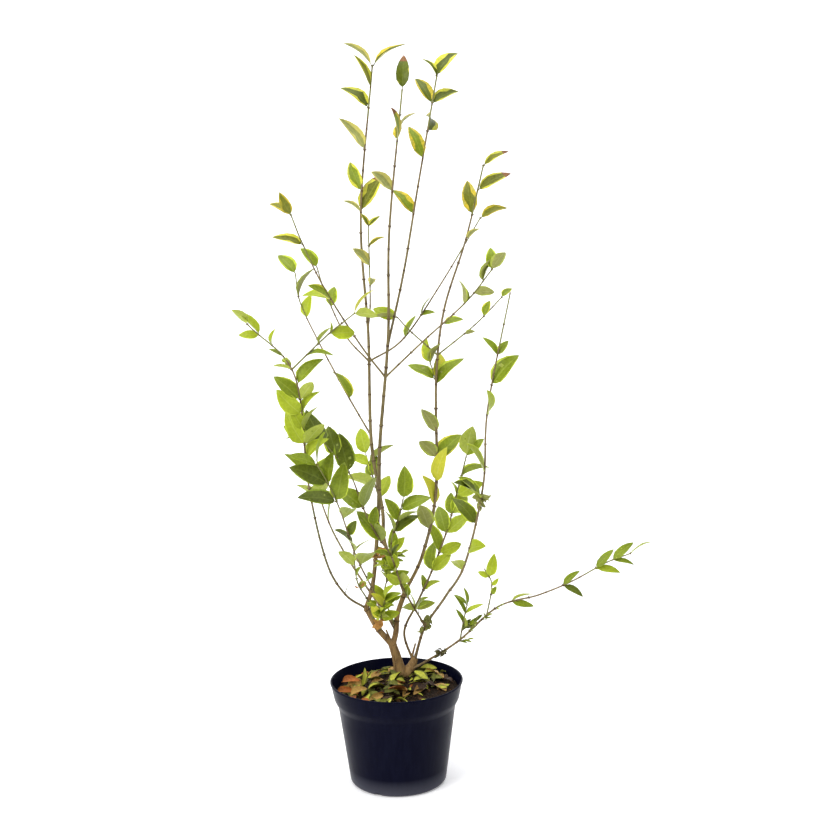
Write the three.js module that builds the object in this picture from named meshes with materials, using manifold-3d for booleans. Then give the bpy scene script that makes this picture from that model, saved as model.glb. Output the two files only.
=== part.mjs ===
// Potted privet: a young, open, vase-shaped shrub with gold-edged leaves in a black nursery pot.
// Units are millimetres and +Z is up. Seen from the front, looking along +Y, +X is to the right.
// The origin is the centre of the pot's flat underside.

import * as THREE from 'three';
import { mergeVertices } from 'three/addons/utils/BufferGeometryUtils.js';
import Module from 'manifold-3d';

const wasm = await Module();
wasm.setup();

// Driving sizes: the pot, a thin-walled 3 litre container
const POT_HEIGHT = 150;
const RIM_RADIUS = 95;
const BASE_RADIUS = 69.5;
const WALL = 1.8;
const FLOOR = 2.6;
const BASE_CORNER = 7;
const BAND_HEIGHT = 28;
const BAND_FOOT_RADIUS = 89.5;
const NECK_RADIUS = 84;
const SHOULDER = 9;
const LIP = 1.2;
const POT_SEGMENTS = 32;
const DRAIN_HOLES = 6;
const DRAIN_HOLE_RADIUS = 5;
const DRAIN_CIRCLE = 42;
const NOTCHES = 3;
const NOTCH_WIDTH = 12;
const NOTCH_HEIGHT = 5;
const NOTCH_HEADING = -115;

// Driving sizes: the compost and the leaves that have fallen on it
const SOIL_LEVEL = 142;
const SOIL_EDGE_LEVEL = 134;
const SOIL_ROUGHNESS = 2.5;
const SOIL_SLOPE = 0.03;
const MOUND_RADIUS = 48;
const LANDING_RADIUS = 27;
const LANDING_SPREAD = 9;
const LANDING_DEPTH = 14;
const FALLEN_LEAVES = 8;
const FALLEN_LEAF_LENGTH = 38;
const LITTER_RADIUS = 78;
const LITTER_TURN = 2.6;
const LITTER_RISE = 0.4;

// Driving sizes: clearance, limbs and leaves
const CLEAR = 0.3;
const LIMB_SIDES = 6;
const THIN_SIDES = 5;
const TWIG_SIDES = 3;
const STOUT_SIDES = 4;
const STOUT_TWIG = 2.1;
const LIMB_STEP = 42;
const LEAST_STEP = 0.004;
const KNUCKLE = 1.2;
const LEAF_WIDTH = 0.46;
const LEAF_THICKNESS = 0.028;
const PETIOLE = 0.8;
const SHORT_LEAF = 38;
const SPRIG_LENGTH = 30;
const SPRIG_BOW = 2;
const SPRIG_LEAF = 0.8;
const FIRST_NODE = 0.04;
const TWIG_FIRST_NODE = 0.24;
const SMALL_LEAF = 0.6;
// How a leaf stands at its node, each a least amount and the spread above it: how far it swings
// round the shoot, opens from it, rolls its face, differs in size and arches (angles in radians)
const HABIT = { swing: 0.9, open: [0.3, 0.5], roll: [0.35, 0.95], size: [0.82, 0.36], arch: [0.1, 0.26] };
const TIP_LEAF_OPENING = 0.12;
const FACE_LEAN = 0.25;

// The foot of the trunk stands a little behind and beside the middle of the pot
const TRUNK = {
  foot: [6, 36, SOIL_LEVEL], bends: [[1, 36, 167]], tip: [-5, 35, 189], thick: [8.2, 6.2], flare: 5,
};
const FLARE_REACH = 0.45;
const FLARE_LOBES = 5;
const LOBE_DEPTH = 0.3;
const ROOT_CROWN = { foot: [10, 37, 140], bends: [[21, 42, 153]], tip: [27, 46, 165], thick: [10, 4.6] };
const DEAD_SPURS = [
  { foot: [22, 44, 158], bends: [[24, 46, 172]], tip: [28, 50, 186], thick: [1.9, 1.3] },
  { foot: [-2, 36, 186], bends: [[-9, 32, 200]], tip: [-14, 29, 214], thick: [2.0, 1.2] },
];

// Every limb and shoot, in the order in which they are set against each other.
//   from, at   what it grows from, and how far along that (0 foot, 1 tip)
//   bends, tip where it turns and ends;  thick: its radius at the foot and at the tip
//   bare       how far along it the leaves begin; with no leaves named it is bare throughout
//   leaves     one word for each node from there to the tip, one letter for each leaf: Left, Right,
//              Front, Back, Up, Down or Along the shoot, small where the leaf is small, with a +
//              where a sprig of leaves grows instead, and a dot for a node that has shed its leaves
//   size       the length of its leaves
const SHOOTS = [
  { name: 'left_limb', from: 'trunk', at: 1, bends: [[-26, 31, 216]], tip: [-42, 28, 247],
    thick: [4.7, 3.8], fork: true },
  { name: 'centre_limb', from: 'trunk', at: 1, bends: [[0, 37, 208], [3, 40, 234]], tip: [14, 44, 265],
    thick: [4.2, 3.6], fork: true },
  { name: 'tall_left', from: 'centre_limb', at: 1,
    bends: [[-13, 51, 336], [-16, 58, 385], [-30, 70, 485], [-31, 84, 636], [-38, 98, 806]],
    tip: [-17, 106, 1013], thick: [2.9, 1.2], bare: 0.72, leaves: 'Rl L . L . L F LR', size: 54 },
  { name: 'tall_centre', from: 'left_limb', at: 1,
    bends: [[-30, 25, 292], [-20, 12, 403], [-16, 2, 492], [-1, -14, 645], [4, -30, 789]],
    tip: [25, -52, 972], thick: [3.2, 1.1], bare: 0.81, leaves: 'L . FB . A', size: 46 },
  { name: 'tall_right', from: 'tall_centre', at: 0.53, bends: [[22, -3, 731], [44, 10, 848]],
    tip: [72, 30, 993], thick: [1.8, 1.1], bare: 0.47, leaves: 'L . L B LR lR', size: 46 },
  { name: 'tall_twin', from: 'tall_left', at: 0.51, bends: [[-27, 80, 686]], tip: [-27, 72, 791],
    thick: [1.2, 0.9], bare: 0, leaves: '. F L R rl', size: 30 },
  { name: 'right_main', from: 'centre_limb', at: 1,
    bends: [[41, 50, 320], [62, 61, 412], [65, 74, 570], [78, 81, 670], [111, 90, 770]],
    tip: [137, 96, 872], thick: [2.6, 1.1], bare: 0.12,
    leaves: 'L L F LR L . Rl+ . . . . . r L R R', size: 46 },
  { name: 'main_left_twig', from: 'right_main', at: 0.56, bends: [[29, 62, 643]], tip: [12, 54, 663],
    thick: [1.2, 0.9], bare: 0, leaves: '. . LL', size: 34 },
  { name: 'main_right_twig', from: 'right_main', at: 0.56, bends: [[123, 102, 646]],
    tip: [163, 122, 683], thick: [1.2, 0.9], bare: 0, leaves: '. r . U . A', size: 26 },
  { name: 'right_outer', from: 'crown', at: 1,
    bends: [[42, 38, 214], [72, 18, 265], [100, -15, 323], [124, -65, 444], [130, -92, 554]],
    tip: [159, -120, 709], thick: [2.2, 0.9], bare: 0.26,
    leaves: 'L F L LL L . F R lr . .', size: 46 },
  { name: 'back_right', from: 'crown', at: 0.8,
    bends: [[12, 54, 202], [31, 68, 240], [53, 92, 280], [78, 124, 335], [93, 150, 381]],
    tip: [110, 165, 440], thick: [1.9, 1.1], bare: 0.22, leaves: 'lrf lrb LR LR LR LR lR R RA', size: 46 },
  { name: 'left_outer', from: 'left_limb', at: 1,
    bends: [[-71, 8, 275], [-94, -28, 334], [-112, -72, 454], [-124, -95, 604]],
    tip: [-182, -107, 674], thick: [1.8, 0.9], bare: 0.42,
    leaves: 'R . L R LR LR RL RL R l l r lU a', size: 42 },
  { name: 'left_outer_fork', from: 'left_outer', at: 0.83, bends: [[-81, -78, 654]],
    tip: [-45, -64, 681], thick: [1.2, 0.9], bare: 0, leaves: 'R u lR . UR', size: 38 },
  { name: 'left_back', from: 'centre_limb', at: 0.35,
    bends: [[-22, 54, 241], [-71, 104, 303], [-104, 142, 362]], tip: [-135, 175, 468],
    thick: [1.9, 1.0], bare: 0.58, leaves: 'R L FR . LA', size: 40 },
  { name: 'left_front', from: 'centre_limb', at: 0.25,
    bends: [[-29, 10, 276], [-52, -40, 344], [-69, -86, 418], [-84, -108, 462]], tip: [-96, -118, 488],
    thick: [1.4, 0.9], bare: 0.3, leaves: 'f R A r R LR LR LR', size: 48 },
  { name: 'left_low', from: 'left_limb', at: 0.6, bends: [[-38, 12, 262], [-52, -6, 296]],
    tip: [-56, -14, 340], thick: [1.4, 0.9], bare: 0, leaves: '. . r F L R', size: 30 },
  { name: 'mid_spray', from: 'tall_left', at: 0.16, bends: [[-28, 78, 425]], tip: [-39, 95, 459],
    thick: [1.2, 0.9], bare: 0, leaves: 'R L RB LR A', size: 40 },
  { name: 'left_back_high', from: 'tall_left', at: 0.31,
    bends: [[-65, 100, 549], [-106, 128, 624], [-132, 144, 680]], tip: [-138, 150, 721],
    thick: [1.4, 0.9], bare: 0.2, leaves: 'U . . . R R L', size: 40 },
  { name: 'left_high_back', from: 'tall_left', at: 0.45, bends: [[-65, 100, 635], [-93, 116, 696]],
    tip: [-104, 122, 731], thick: [1.3, 0.9], bare: 0.6, leaves: 'R . L', size: 34 },
  { name: 'left_high_front', from: 'tall_centre', at: 0.47,
    bends: [[-38, -22, 633], [-83, -52, 713], [-110, -72, 776]], tip: [-123, -80, 813],
    thick: [1.4, 0.9], bare: 0.5, leaves: 'FL . L LF', size: 38 },
  { name: 'right_high_back', from: 'tall_left', at: 0.45, bends: [[19, 98, 628], [74, 120, 703]],
    tip: [134, 142, 797], thick: [1.4, 0.9], bare: 0.2, leaves: 'U Ur . . . R', size: 36 },
  { name: 'right_high_front', from: 'tall_centre', at: 0.47, bends: [[45, -28, 637], [104, -58, 693]],
    tip: [138, -80, 737], thick: [1.4, 0.9], bare: 0.5, leaves: 'R . LU R UL UA', size: 32 },
  { name: 'low_right', from: 'crown', at: 0.35,
    bends: [[42, 34, 163], [91, 20, 199], [146, 3, 253], [203, -12, 274], [249, -22, 296], [295, -31, 324]],
    tip: [328, -36, 338], thick: [1.9, 0.9], bare: 0.2,
    leaves: '. . . . DU . . UD . UD UD U', size: 32 },
  { name: 'low_twig_near', from: 'low_right', at: 0.25, bends: [[97, 20, 225]], tip: [103, 18, 252],
    thick: [1.1, 0.9], bare: 0, leaves: 'R L RL LA', size: 25 },
  { name: 'low_twig_far', from: 'low_right', at: 0.4, bends: [[138, 4, 285]], tip: [128, 2, 309],
    thick: [1.1, 0.9], bare: 0, leaves: '. r r lR .', size: 28 },
  { name: 'inner_front', from: 'right_outer', at: 0.09,
    bends: [[12, 8, 282], [-4, -23, 339], [-21, -24, 365], [-40, -25, 406], [-58, -25, 456]],
    tip: [-92, -28, 501], thick: [1.5, 0.9], bare: 0.06,
    leaves: 'lr bf lr fb lr Ar r LR . R R LF', size: 50 },
  { name: 'inner_fork', from: 'inner_front', at: 0.43, bends: [[-2, -28, 363], [7, -31, 389]],
    tip: [15, -34, 421], thick: [1.1, 0.9], bare: 0, leaves: '. LR LR R A', size: 38 },
  { name: 'inner_centre', from: 'centre_limb', at: 0.3, bends: [[-15, 33, 263], [-9, 30, 295]],
    tip: [-3, 24, 331], thick: [1.3, 0.9], bare: 0, leaves: '. L . R FB LF RA', size: 32 },
  { name: 'inner_low', from: 'left_limb', at: 0.4, bends: [[-20, 14, 236]], tip: [-14, -6, 268],
    thick: [1.2, 0.9], bare: 0, leaves: '. LR F LR RA', size: 26 },
];

// Places and shapes

const vector = ([x, y, z]) => new THREE.Vector3(x, y, z);

const HEADINGS = {
  L: [-1, 0, 0], R: [1, 0, 0], F: [0, -1, 0], B: [0, 1, 0], U: [0, 0, 1], D: [0, 0, -1],
};

function seededRandom(seed) {
  let state = seed >>> 0;
  return () => {
    state = (state + 0x6d2b79f5) >>> 0;
    let t = state;
    t = Math.imul(t ^ (t >>> 15), t | 1);
    t ^= t + Math.imul(t ^ (t >>> 7), t | 61);
    return ((t ^ (t >>> 14)) >>> 0) / 4294967296;
  };
}

function seedOf(name) {
  let seed = 7;
  for (const letter of name) seed = (seed * 31 + letter.charCodeAt(0)) % 1000003;
  return seed;
}

function solidFrom(geometry) {
  const plain = geometry.clone();
  plain.deleteAttribute('normal');
  plain.deleteAttribute('uv');
  const merged = mergeVertices(plain, 1e-4);
  return new wasm.Manifold(new wasm.Mesh({
    numProp: 3,
    vertProperties: new Float32Array(merged.attributes.position.array),
    triVerts: new Uint32Array(merged.index.array),
  }));
}

function largestPiece(solid) {
  const pieces = solid.decompose();
  return pieces.reduce((best, piece) => (piece.volume() > best.volume() ? piece : best));
}

function geometryFrom(solid) {
  const mesh = solid.getMesh();
  const geometry = new THREE.BufferGeometry();
  geometry.setAttribute('position', new THREE.BufferAttribute(mesh.vertProperties, 3));
  geometry.setIndex(new THREE.BufferAttribute(mesh.triVerts, 1));
  geometry.computeVertexNormals();
  return geometry;
}

function boxesMeet(a, b, margin) {
  return [0, 1, 2].every((i) => a.min[i] - margin < b.max[i] && b.min[i] - margin < a.max[i]);
}

// Limbs: tapered rods that follow a curve

function limbCurve(limb) {
  const points = [limb.foot, ...limb.bends, limb.tip].map(vector);
  return new THREE.CatmullRomCurve3(points, false, 'catmullrom', 0.5);
}

function sideAxis(curve) {
  const chord = curve.getPointAt(1).sub(curve.getPointAt(0)).normalize();
  const axes = [new THREE.Vector3(0, 1, 0), new THREE.Vector3(1, 0, 0)];
  return axes.find((axis) => Math.abs(axis.dot(chord)) < 0.8) ?? axes[0];
}

function evenRings(to, length, step) {
  const steps = Math.max(1, Math.round((to * length) / step));
  return Array.from({ length: steps + 1 }, (_, k) => (k * to) / steps);
}

// rings are the places along the curve, from 0 to 1, of the rod's foot, its joints and its tip
function rod({ curve, rings, radiusAt, sides, grow = 0 }) {
  const steps = rings.length - 1;
  const geometry = new THREE.CylinderGeometry(1, 1, 1, sides, steps);
  const positions = geometry.attributes.position;
  const across = sideAxis(curve);
  for (let i = 0; i < positions.count; i += 1) {
    const ring = Math.round((positions.getY(i) + 0.5) * steps);
    const s = rings[ring];
    const tangent = curve.getTangentAt(s);
    const side = across.clone().addScaledVector(tangent, -across.dot(tangent)).normalize();
    const other = side.clone().cross(tangent);
    const angle = Math.atan2(positions.getZ(i), positions.getX(i));
    const radius = Math.hypot(positions.getX(i), positions.getZ(i)) * (radiusAt(s, angle) + grow);
    const end = (ring === steps ? 1 : 0) - (ring === 0 ? 1 : 0);
    const point = curve.getPointAt(s).addScaledVector(tangent, end * grow);
    point.addScaledVector(side, Math.cos(angle) * radius).addScaledVector(other, Math.sin(angle) * radius);
    positions.setXYZ(i, point.x, point.y, point.z);
  }
  return solidFrom(geometry);
}

function taper([atFoot, atTip]) {
  return (s) => atFoot + (atTip - atFoot) * s;
}

function ball(centre, radius) {
  const geometry = new THREE.SphereGeometry(radius, 8, 5);
  geometry.translate(...centre);
  return solidFrom(geometry);
}

// Leaves: a short stalk sunk in the twig, an oval blade folded along its rib, and a pointed tip

// The rings of a leaf's blade from its stalk to its tip; a short leaf is widest at one ring only
function leafRings(length, stalk) {
  const half = (length * LEAF_WIDTH) / 2;
  const deep = length * LEAF_THICKNESS;
  const blade = length < SHORT_LEAF
    ? [{ along: 0.46, wide: half, deep }]
    : [{ along: 0.36, wide: half, deep }, { along: 0.72, wide: half * 0.84, deep }];
  return [{ along: 0, wide: stalk, deep: stalk }, ...blade, { along: 1, wide: 0, deep: 0 }];
}

function leafSolid({ base, axis, up, length, arch, stalk }) {
  const rings = leafRings(length, stalk);
  const last = rings.length - 1;
  const geometry = new THREE.ConeGeometry(1, 1, 3, last);
  const positions = geometry.attributes.position;
  const across = up.clone().cross(axis).normalize();
  for (let i = 0; i < positions.count; i += 1) {
    const ring = rings[Math.round((positions.getY(i) + 0.5) * last)];
    const reach = Math.hypot(positions.getX(i), positions.getZ(i)) > 1e-6 ? 1 : 0;
    const angle = Math.atan2(positions.getX(i), positions.getZ(i));
    const point = base.clone().addScaledVector(axis, ring.along * length);
    point.addScaledVector(up, -arch * length * ring.along ** 2);
    point.addScaledVector(across, (reach * Math.sin(angle) * ring.wide) / Math.sin(Math.PI / 3));
    point.addScaledVector(up, -reach * Math.cos(angle) * ring.deep);
    positions.setXYZ(i, point.x, point.y, point.z);
  }
  return solidFrom(geometry);
}

const drawn = ([least, spread], draw) => least + spread * draw;

// The way a leaf or a sprig leaves its node, from five draws of the shoot's own random row
function aim(random, letter, tangent) {
  const [swing, open, roll, size, bend] = [random(), random(), random(), random(), random()];
  const heading = vector(HEADINGS[letter] ?? [0, 0, 1]);
  heading.applyAxisAngle(new THREE.Vector3(0, 0, 1), (swing - 0.5) * HABIT.swing);
  heading.addScaledVector(tangent, -heading.dot(tangent)).normalize();
  const opening = letter === 'A' ? TIP_LEAF_OPENING : drawn(HABIT.open, open);
  const axis = tangent.clone().multiplyScalar(Math.cos(opening));
  axis.addScaledVector(heading, Math.sin(opening)).normalize();
  const sky = new THREE.Vector3(0, 0, 1).addScaledVector(heading, -FACE_LEAN);
  const up = sky.addScaledVector(axis, -sky.dot(axis)).normalize();
  up.applyAxisAngle(axis, Math.sign(roll - 0.5) * drawn(HABIT.roll, Math.abs(2 * roll - 1)));
  return { axis, up, size: drawn(HABIT.size, size), arch: drawn(HABIT.arch, bend) };
}

// One shoot's leaves and sprigs, node by node from where the leaves begin to its tip
function nodesOf(shoot) {
  const words = shoot.leaves.split(' ');
  return words.map((word, k) => {
    const share = words.length > 1 ? k / (words.length - 1) : 1;
    const first = shoot.bare + (shoot.bare > 0 ? FIRST_NODE : TWIG_FIRST_NODE) * (1 - shoot.bare);
    return { word, s: first + (1 - first) * share };
  });
}

function growth(shoot, random) {
  const leaves = [];
  const sprigs = [];
  for (const { word, s } of nodesOf(shoot)) {
    const tangent = shoot.curve.getTangentAt(s);
    const base = shoot.curve.getPointAt(s);
    for (const [i, letter] of [...word].entries()) {
      if (letter === '.' || letter === '+') continue;
      const small = letter !== letter.toUpperCase();
      const way = aim(random, letter.toUpperCase(), tangent);
      if (word[i + 1] === '+') {
        sprigs.push({ base, way, radius: shoot.radiusAt(s), size: shoot.size });
      } else {
        const length = shoot.size * way.size * (small ? SMALL_LEAF : 1);
        leaves.push({ base, ...way, length, stalk: Math.min(PETIOLE, 0.9 * shoot.radiusAt(s)) });
      }
    }
  }
  return { leaves, sprigs };
}

// A sprig is a short side twig with an opposite pair half way, a crossed pair above it, and a tip leaf
function sprigShoot(sprig, index) {
  const reach = sprig.base.clone().addScaledVector(sprig.way.axis, SPRIG_LENGTH * sprig.way.size);
  const middle = sprig.base.clone().lerp(reach, 0.5).addScaledVector(sprig.way.up, SPRIG_BOW);
  return {
    name: `sprig_${index}`, foot: sprig.base.toArray(), bends: [middle.toArray()], tip: reach.toArray(),
    thick: [1.1, 0.9], bare: 0, leaves: index % 2 ? 'LR UA' : 'FB UA', size: sprig.size * SPRIG_LEAF,
  };
}

// The pot

function potProfile() {
  const bandFoot = POT_HEIGHT - BAND_HEIGHT;
  const corner = (radius, height, round) => [0, 0.5, 1].map((share) => {
    const angle = (share - 1) * Math.PI / 2;
    return [radius - round + round * Math.cos(angle), height + round + round * Math.sin(angle)];
  });
  return [
    [0, 0],
    ...corner(BASE_RADIUS, 0, BASE_CORNER),
    [NECK_RADIUS, bandFoot - SHOULDER],
    [BAND_FOOT_RADIUS, bandFoot],
    [RIM_RADIUS - LIP, POT_HEIGHT - 2 * LIP],
    [RIM_RADIUS, POT_HEIGHT - LIP],
    [RIM_RADIUS - LIP / 2, POT_HEIGHT],
    [RIM_RADIUS - WALL - LIP / 2, POT_HEIGHT],
    [RIM_RADIUS - WALL - LIP, POT_HEIGHT - LIP],
    [BAND_FOOT_RADIUS - WALL, bandFoot],
    [NECK_RADIUS - WALL, bandFoot - SHOULDER],
    ...corner(BASE_RADIUS - WALL, FLOOR, BASE_CORNER - WALL).reverse(),
    [0, FLOOR],
  ];
}

function potInnerRadius(height) {
  const bandFoot = POT_HEIGHT - BAND_HEIGHT;
  const low = [BASE_CORNER, BASE_RADIUS - WALL];
  const neck = [bandFoot - SHOULDER, NECK_RADIUS - WALL];
  const band = [bandFoot, BAND_FOOT_RADIUS - WALL];
  const top = [POT_HEIGHT - LIP, RIM_RADIUS - WALL - LIP];
  const [a, b] = height < neck[0] ? [low, neck] : height < band[0] ? [neck, band] : [band, top];
  return a[1] + ((b[1] - a[1]) * (height - a[0])) / (b[0] - a[0]);
}

function turned(profile, segments) {
  const geometry = new THREE.LatheGeometry(profile.map(([r, z]) => new THREE.Vector2(r, z)), segments);
  geometry.rotateX(Math.PI / 2);
  return geometry;
}

function potSolid() {
  let pot = solidFrom(turned(potProfile(), POT_SEGMENTS));
  for (let i = 0; i < DRAIN_HOLES; i += 1) {
    const hole = new THREE.CylinderGeometry(DRAIN_HOLE_RADIUS, DRAIN_HOLE_RADIUS, 4 * FLOOR, 8);
    hole.rotateX(Math.PI / 2);
    const heading = (i * 2 * Math.PI) / DRAIN_HOLES;
    hole.translate(DRAIN_CIRCLE * Math.cos(heading), DRAIN_CIRCLE * Math.sin(heading), 0);
    pot = pot.subtract(solidFrom(hole));
  }
  for (let i = 0; i < NOTCHES; i += 1) {
    const notch = new THREE.BoxGeometry(4 * BASE_CORNER, NOTCH_WIDTH, 2 * NOTCH_HEIGHT);
    notch.translate(BASE_RADIUS + BASE_CORNER, 0, 0);
    notch.rotateZ(((NOTCH_HEADING + (i * 360) / NOTCHES) * Math.PI) / 180);
    pot = pot.subtract(solidFrom(notch));
  }
  return pot;
}

// The compost, a little uneven, with a level landing under the trunk and fallen leaves set in it

function compostTop(x, y, random) {
  const fromTrunk = Math.hypot(x - TRUNK.foot[0], y - TRUNK.foot[1]);
  const mound = (SOIL_LEVEL - SOIL_EDGE_LEVEL) * Math.exp(-((fromTrunk / MOUND_RADIUS) ** 2));
  return SOIL_EDGE_LEVEL + mound + x * SOIL_SLOPE + (random() - 0.8) * SOIL_ROUGHNESS;
}

function compostSolid(limbs) {
  const random = seededRandom(seedOf('compost'));
  const wallAt = (z) => [potInnerRadius(z) - CLEAR, z];
  const edge = SOIL_EDGE_LEVEL - 6;
  const rings = [0.88, 0.66, 0.44, 0.22, 0].map((share) => [share * potInnerRadius(edge), edge]);
  const floor = FLOOR + CLEAR;
  const bandFoot = POT_HEIGHT - BAND_HEIGHT;
  const shoulder = [bandFoot - SHOULDER, bandFoot].map((z) => [potInnerRadius(z) - CLEAR, z + CLEAR]);
  const profile = [
    [0, floor],
    [BASE_RADIUS - BASE_CORNER, floor],
    wallAt(BASE_CORNER + floor),
    ...shoulder,
    wallAt(edge),
    ...rings,
  ];
  const geometry = turned(profile, POT_SEGMENTS);
  const heights = new Map();
  const positions = geometry.attributes.position;
  for (let i = 0; i < positions.count; i += 1) {
    const [x, y, z] = [positions.getX(i), positions.getY(i), positions.getZ(i)];
    if (Math.abs(z - edge) > 1e-3 || Math.hypot(x, y) > 0.9 * potInnerRadius(edge)) continue;
    const place = `${x.toFixed(2)} ${y.toFixed(2)}`.replaceAll('-0.00', '0.00');
    if (!heights.has(place)) heights.set(place, compostTop(x, y, random));
    positions.setZ(i, Math.min(heights.get(place), SOIL_LEVEL - CLEAR));
  }
  const landing = new THREE.CylinderGeometry(
    LANDING_RADIUS, LANDING_RADIUS + LANDING_SPREAD, LANDING_DEPTH, POT_SEGMENTS / 2,
  );
  landing.rotateX(Math.PI / 2);
  landing.translate(TRUNK.foot[0] + 8, TRUNK.foot[1] + 3, SOIL_LEVEL - CLEAR - LANDING_DEPTH / 2);
  let compost = solidFrom(geometry).add(solidFrom(landing));
  for (let i = 0; i < FALLEN_LEAVES; i += 1) {
    const leaf = fallenLeaf(random);
    if (limbs.every((limb) => leaf.minGap(limb.solid, 1) >= CLEAR)) compost = compost.add(leaf);
  }
  return largestPiece(compost);
}

// A fallen leaf lies with its foot in the compost and its tip a little raised
function fallenLeaf(random) {
  const heading = random() * 2 * Math.PI;
  const away = LITTER_RADIUS * Math.sqrt(random());
  const [x, y] = [away * Math.cos(heading), away * Math.sin(heading)];
  const turn = heading + Math.PI + (random() - 0.5) * LITTER_TURN;
  const axis = new THREE.Vector3(Math.cos(turn), Math.sin(turn), LITTER_RISE * random()).normalize();
  const sky = new THREE.Vector3(random() - 0.5, random() - 0.5, 1);
  const up = sky.addScaledVector(axis, -sky.dot(axis)).normalize();
  const base = new THREE.Vector3(x, y, compostTop(x, y, () => 0.5));
  const length = FALLEN_LEAF_LENGTH * drawn(HABIT.size, random());
  return leafSolid({ base, axis, up, length, arch: 0.5 * drawn(HABIT.arch, random()), stalk: PETIOLE });
}

// The trunk with its root flare, the root crown beside it, and the dead spurs, cut flat at the soil

function trunkSolid(grow) {
  const flared = (s, angle) => {
    const spread = TRUNK.flare * Math.max(0, 1 - s / FLARE_REACH) ** 2;
    return taper(TRUNK.thick)(s) + spread * (1 - LOBE_DEPTH + LOBE_DEPTH * Math.cos(FLARE_LOBES * angle));
  };
  const crownRadius = taper(ROOT_CROWN.thick);
  const evenRod = (limb, radiusAt, sides, step) => {
    const curve = limbCurve(limb);
    return rod({ curve, rings: evenRings(1, curve.getLength(), step), radiusAt, sides, grow });
  };
  let trunk = evenRod(TRUNK, flared, 8, 12).add(evenRod(ROOT_CROWN, crownRadius, 7, 9));
  for (const stem of [TRUNK, ROOT_CROWN]) {
    trunk = trunk.add(ball(stem.tip, stem.thick[1] + grow));
  }
  for (const spur of DEAD_SPURS) {
    trunk = trunk.add(evenRod(spur, taper(spur.thick), THIN_SIDES, 14));
  }
  const ground = new THREE.BoxGeometry(200, 200, 60);
  ground.translate(TRUNK.foot[0], TRUNK.foot[1], SOIL_LEVEL - 30 - grow);
  return largestPiece(trunk.subtract(solidFrom(ground)));
}

// Putting the plant together

const limbs = [];
const masses = [];
const grown = new Map([
  ['trunk', { curve: limbCurve(TRUNK) }],
  ['crown', { curve: limbCurve(ROOT_CROWN) }],
]);

function addLimb(name, shape) {
  let solid = shape(0);
  const box = solid.boundingBox();
  for (const other of limbs) {
    if (boxesMeet(box, other.envelope.boundingBox(), 0)) solid = solid.subtract(other.envelope);
  }
  limbs.push({ name, solid: largestPiece(solid), envelope: shape(CLEAR) });
}

function limbShape(shoot) {
  const to = shoot.leaves ? shoot.bare : 1;
  return (grow) => {
    const { curve, radiusAt } = shoot;
    const sides = radiusAt(0) > STOUT_TWIG ? LIMB_SIDES : THIN_SIDES;
    const body = rod({ curve, rings: evenRings(to, curve.getLength(), LIMB_STEP), radiusAt, sides, grow });
    return shoot.fork ? body.add(ball(shoot.tip, shoot.thick[1] * KNUCKLE + grow)) : body;
  };
}

function touchesAny(solid, others) {
  const box = solid.boundingBox();
  return others.some((other) => boxesMeet(box, other.solid.boundingBox(), CLEAR)
    && solid.minGap(other.solid, 2 * CLEAR) < CLEAR);
}

// A twig's joints stand at its leafy nodes and at the feet of its own twigs, so that these join it
function twigSolid(shoot, start) {
  const { curve, radiusAt, twigs = [] } = shoot;
  const marks = [...nodesOf(shoot).map(({ s }) => s), ...twigs.map(({ at }) => at)];
  const beyond = marks.filter((s) => s > start).sort((a, b) => a - b);
  const rings = [start, ...beyond].filter((s, i, all) => i === 0 || s - all[i - 1] > LEAST_STEP);
  return rod({ curve, rings, radiusAt, sides: radiusAt(start) > STOUT_TWIG ? STOUT_SIDES : TWIG_SIDES });
}

// A mass is the leafy stretch of one shoot, with the sprigs and twigs that branch from it
function massSolid(shoot) {
  const start = shoot.bare > 0 ? shoot.bare + CLEAR / shoot.curve.getLength() : 0;
  let body = twigSolid(shoot, start);
  for (const limb of limbs) {
    if (boxesMeet(body.boundingBox(), limb.envelope.boundingBox(), 0)) body = body.subtract(limb.envelope);
  }
  body = largestPiece(body);
  const stems = [shoot, ...shoot.twigs];
  let sprigCount = 0;
  while (stems.length) {
    const stem = stems.shift();
    const { leaves, sprigs } = growth(stem, seededRandom(seedOf(stem.name)));
    if (stem !== shoot) {
      const twig = twigSolid(stem, 0);
      if (touchesAny(twig, [...limbs, ...masses])) continue;
      body = body.add(twig);
    }
    for (const leaf of leaves) {
      const blade = leafSolid(leaf);
      if (!touchesAny(blade, [...limbs, ...masses])) body = body.add(blade);
    }
    for (const sprig of sprigs) {
      sprigCount += 1;
      const twig = sprigShoot(sprig, sprigCount);
      const name = `${stem.name}_${twig.name}`;
      stems.push({ ...twig, name, curve: limbCurve(twig), radiusAt: taper(twig.thick) });
    }
  }
  return largestPiece(body);
}

addLimb('trunk', trunkSolid);
for (const record of SHOOTS) {
  const parent = grown.get(record.from);
  const shoot = { ...record, foot: parent.curve.getPointAt(record.at).toArray(), twigs: [] };
  shoot.curve = limbCurve(shoot);
  shoot.radiusAt = taper(shoot.thick);
  shoot.ownMass = !(parent.leaves && record.at >= parent.bare);
  if (!shoot.ownMass) parent.twigs.push(shoot);
  else if (!shoot.leaves || shoot.bare > 0) addLimb(shoot.name, limbShape(shoot));
  grown.set(shoot.name, shoot);
}
const compost = compostSolid(limbs);
masses.push({ name: 'compost', solid: compost });
for (const shoot of grown.values()) {
  if (shoot.leaves && shoot.ownMass) masses.push({ name: `leaves_${shoot.name}`, solid: massSolid(shoot) });
}

// The finished plant

const BARK = new THREE.Color(0x7d6550);
const LEAF_GREEN = new THREE.Color(0x6f9a25);
const POT_BLACK = new THREE.Color(0x14151c);
const COMPOST_BROWN = new THREE.Color(0x2f241c);

function namedMesh(name, solid, color, roughness) {
  const mesh = new THREE.Mesh(
    geometryFrom(solid),
    new THREE.MeshStandardMaterial({ color, roughness, metalness: 0 }),
  );
  mesh.name = name;
  return mesh;
}

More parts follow.
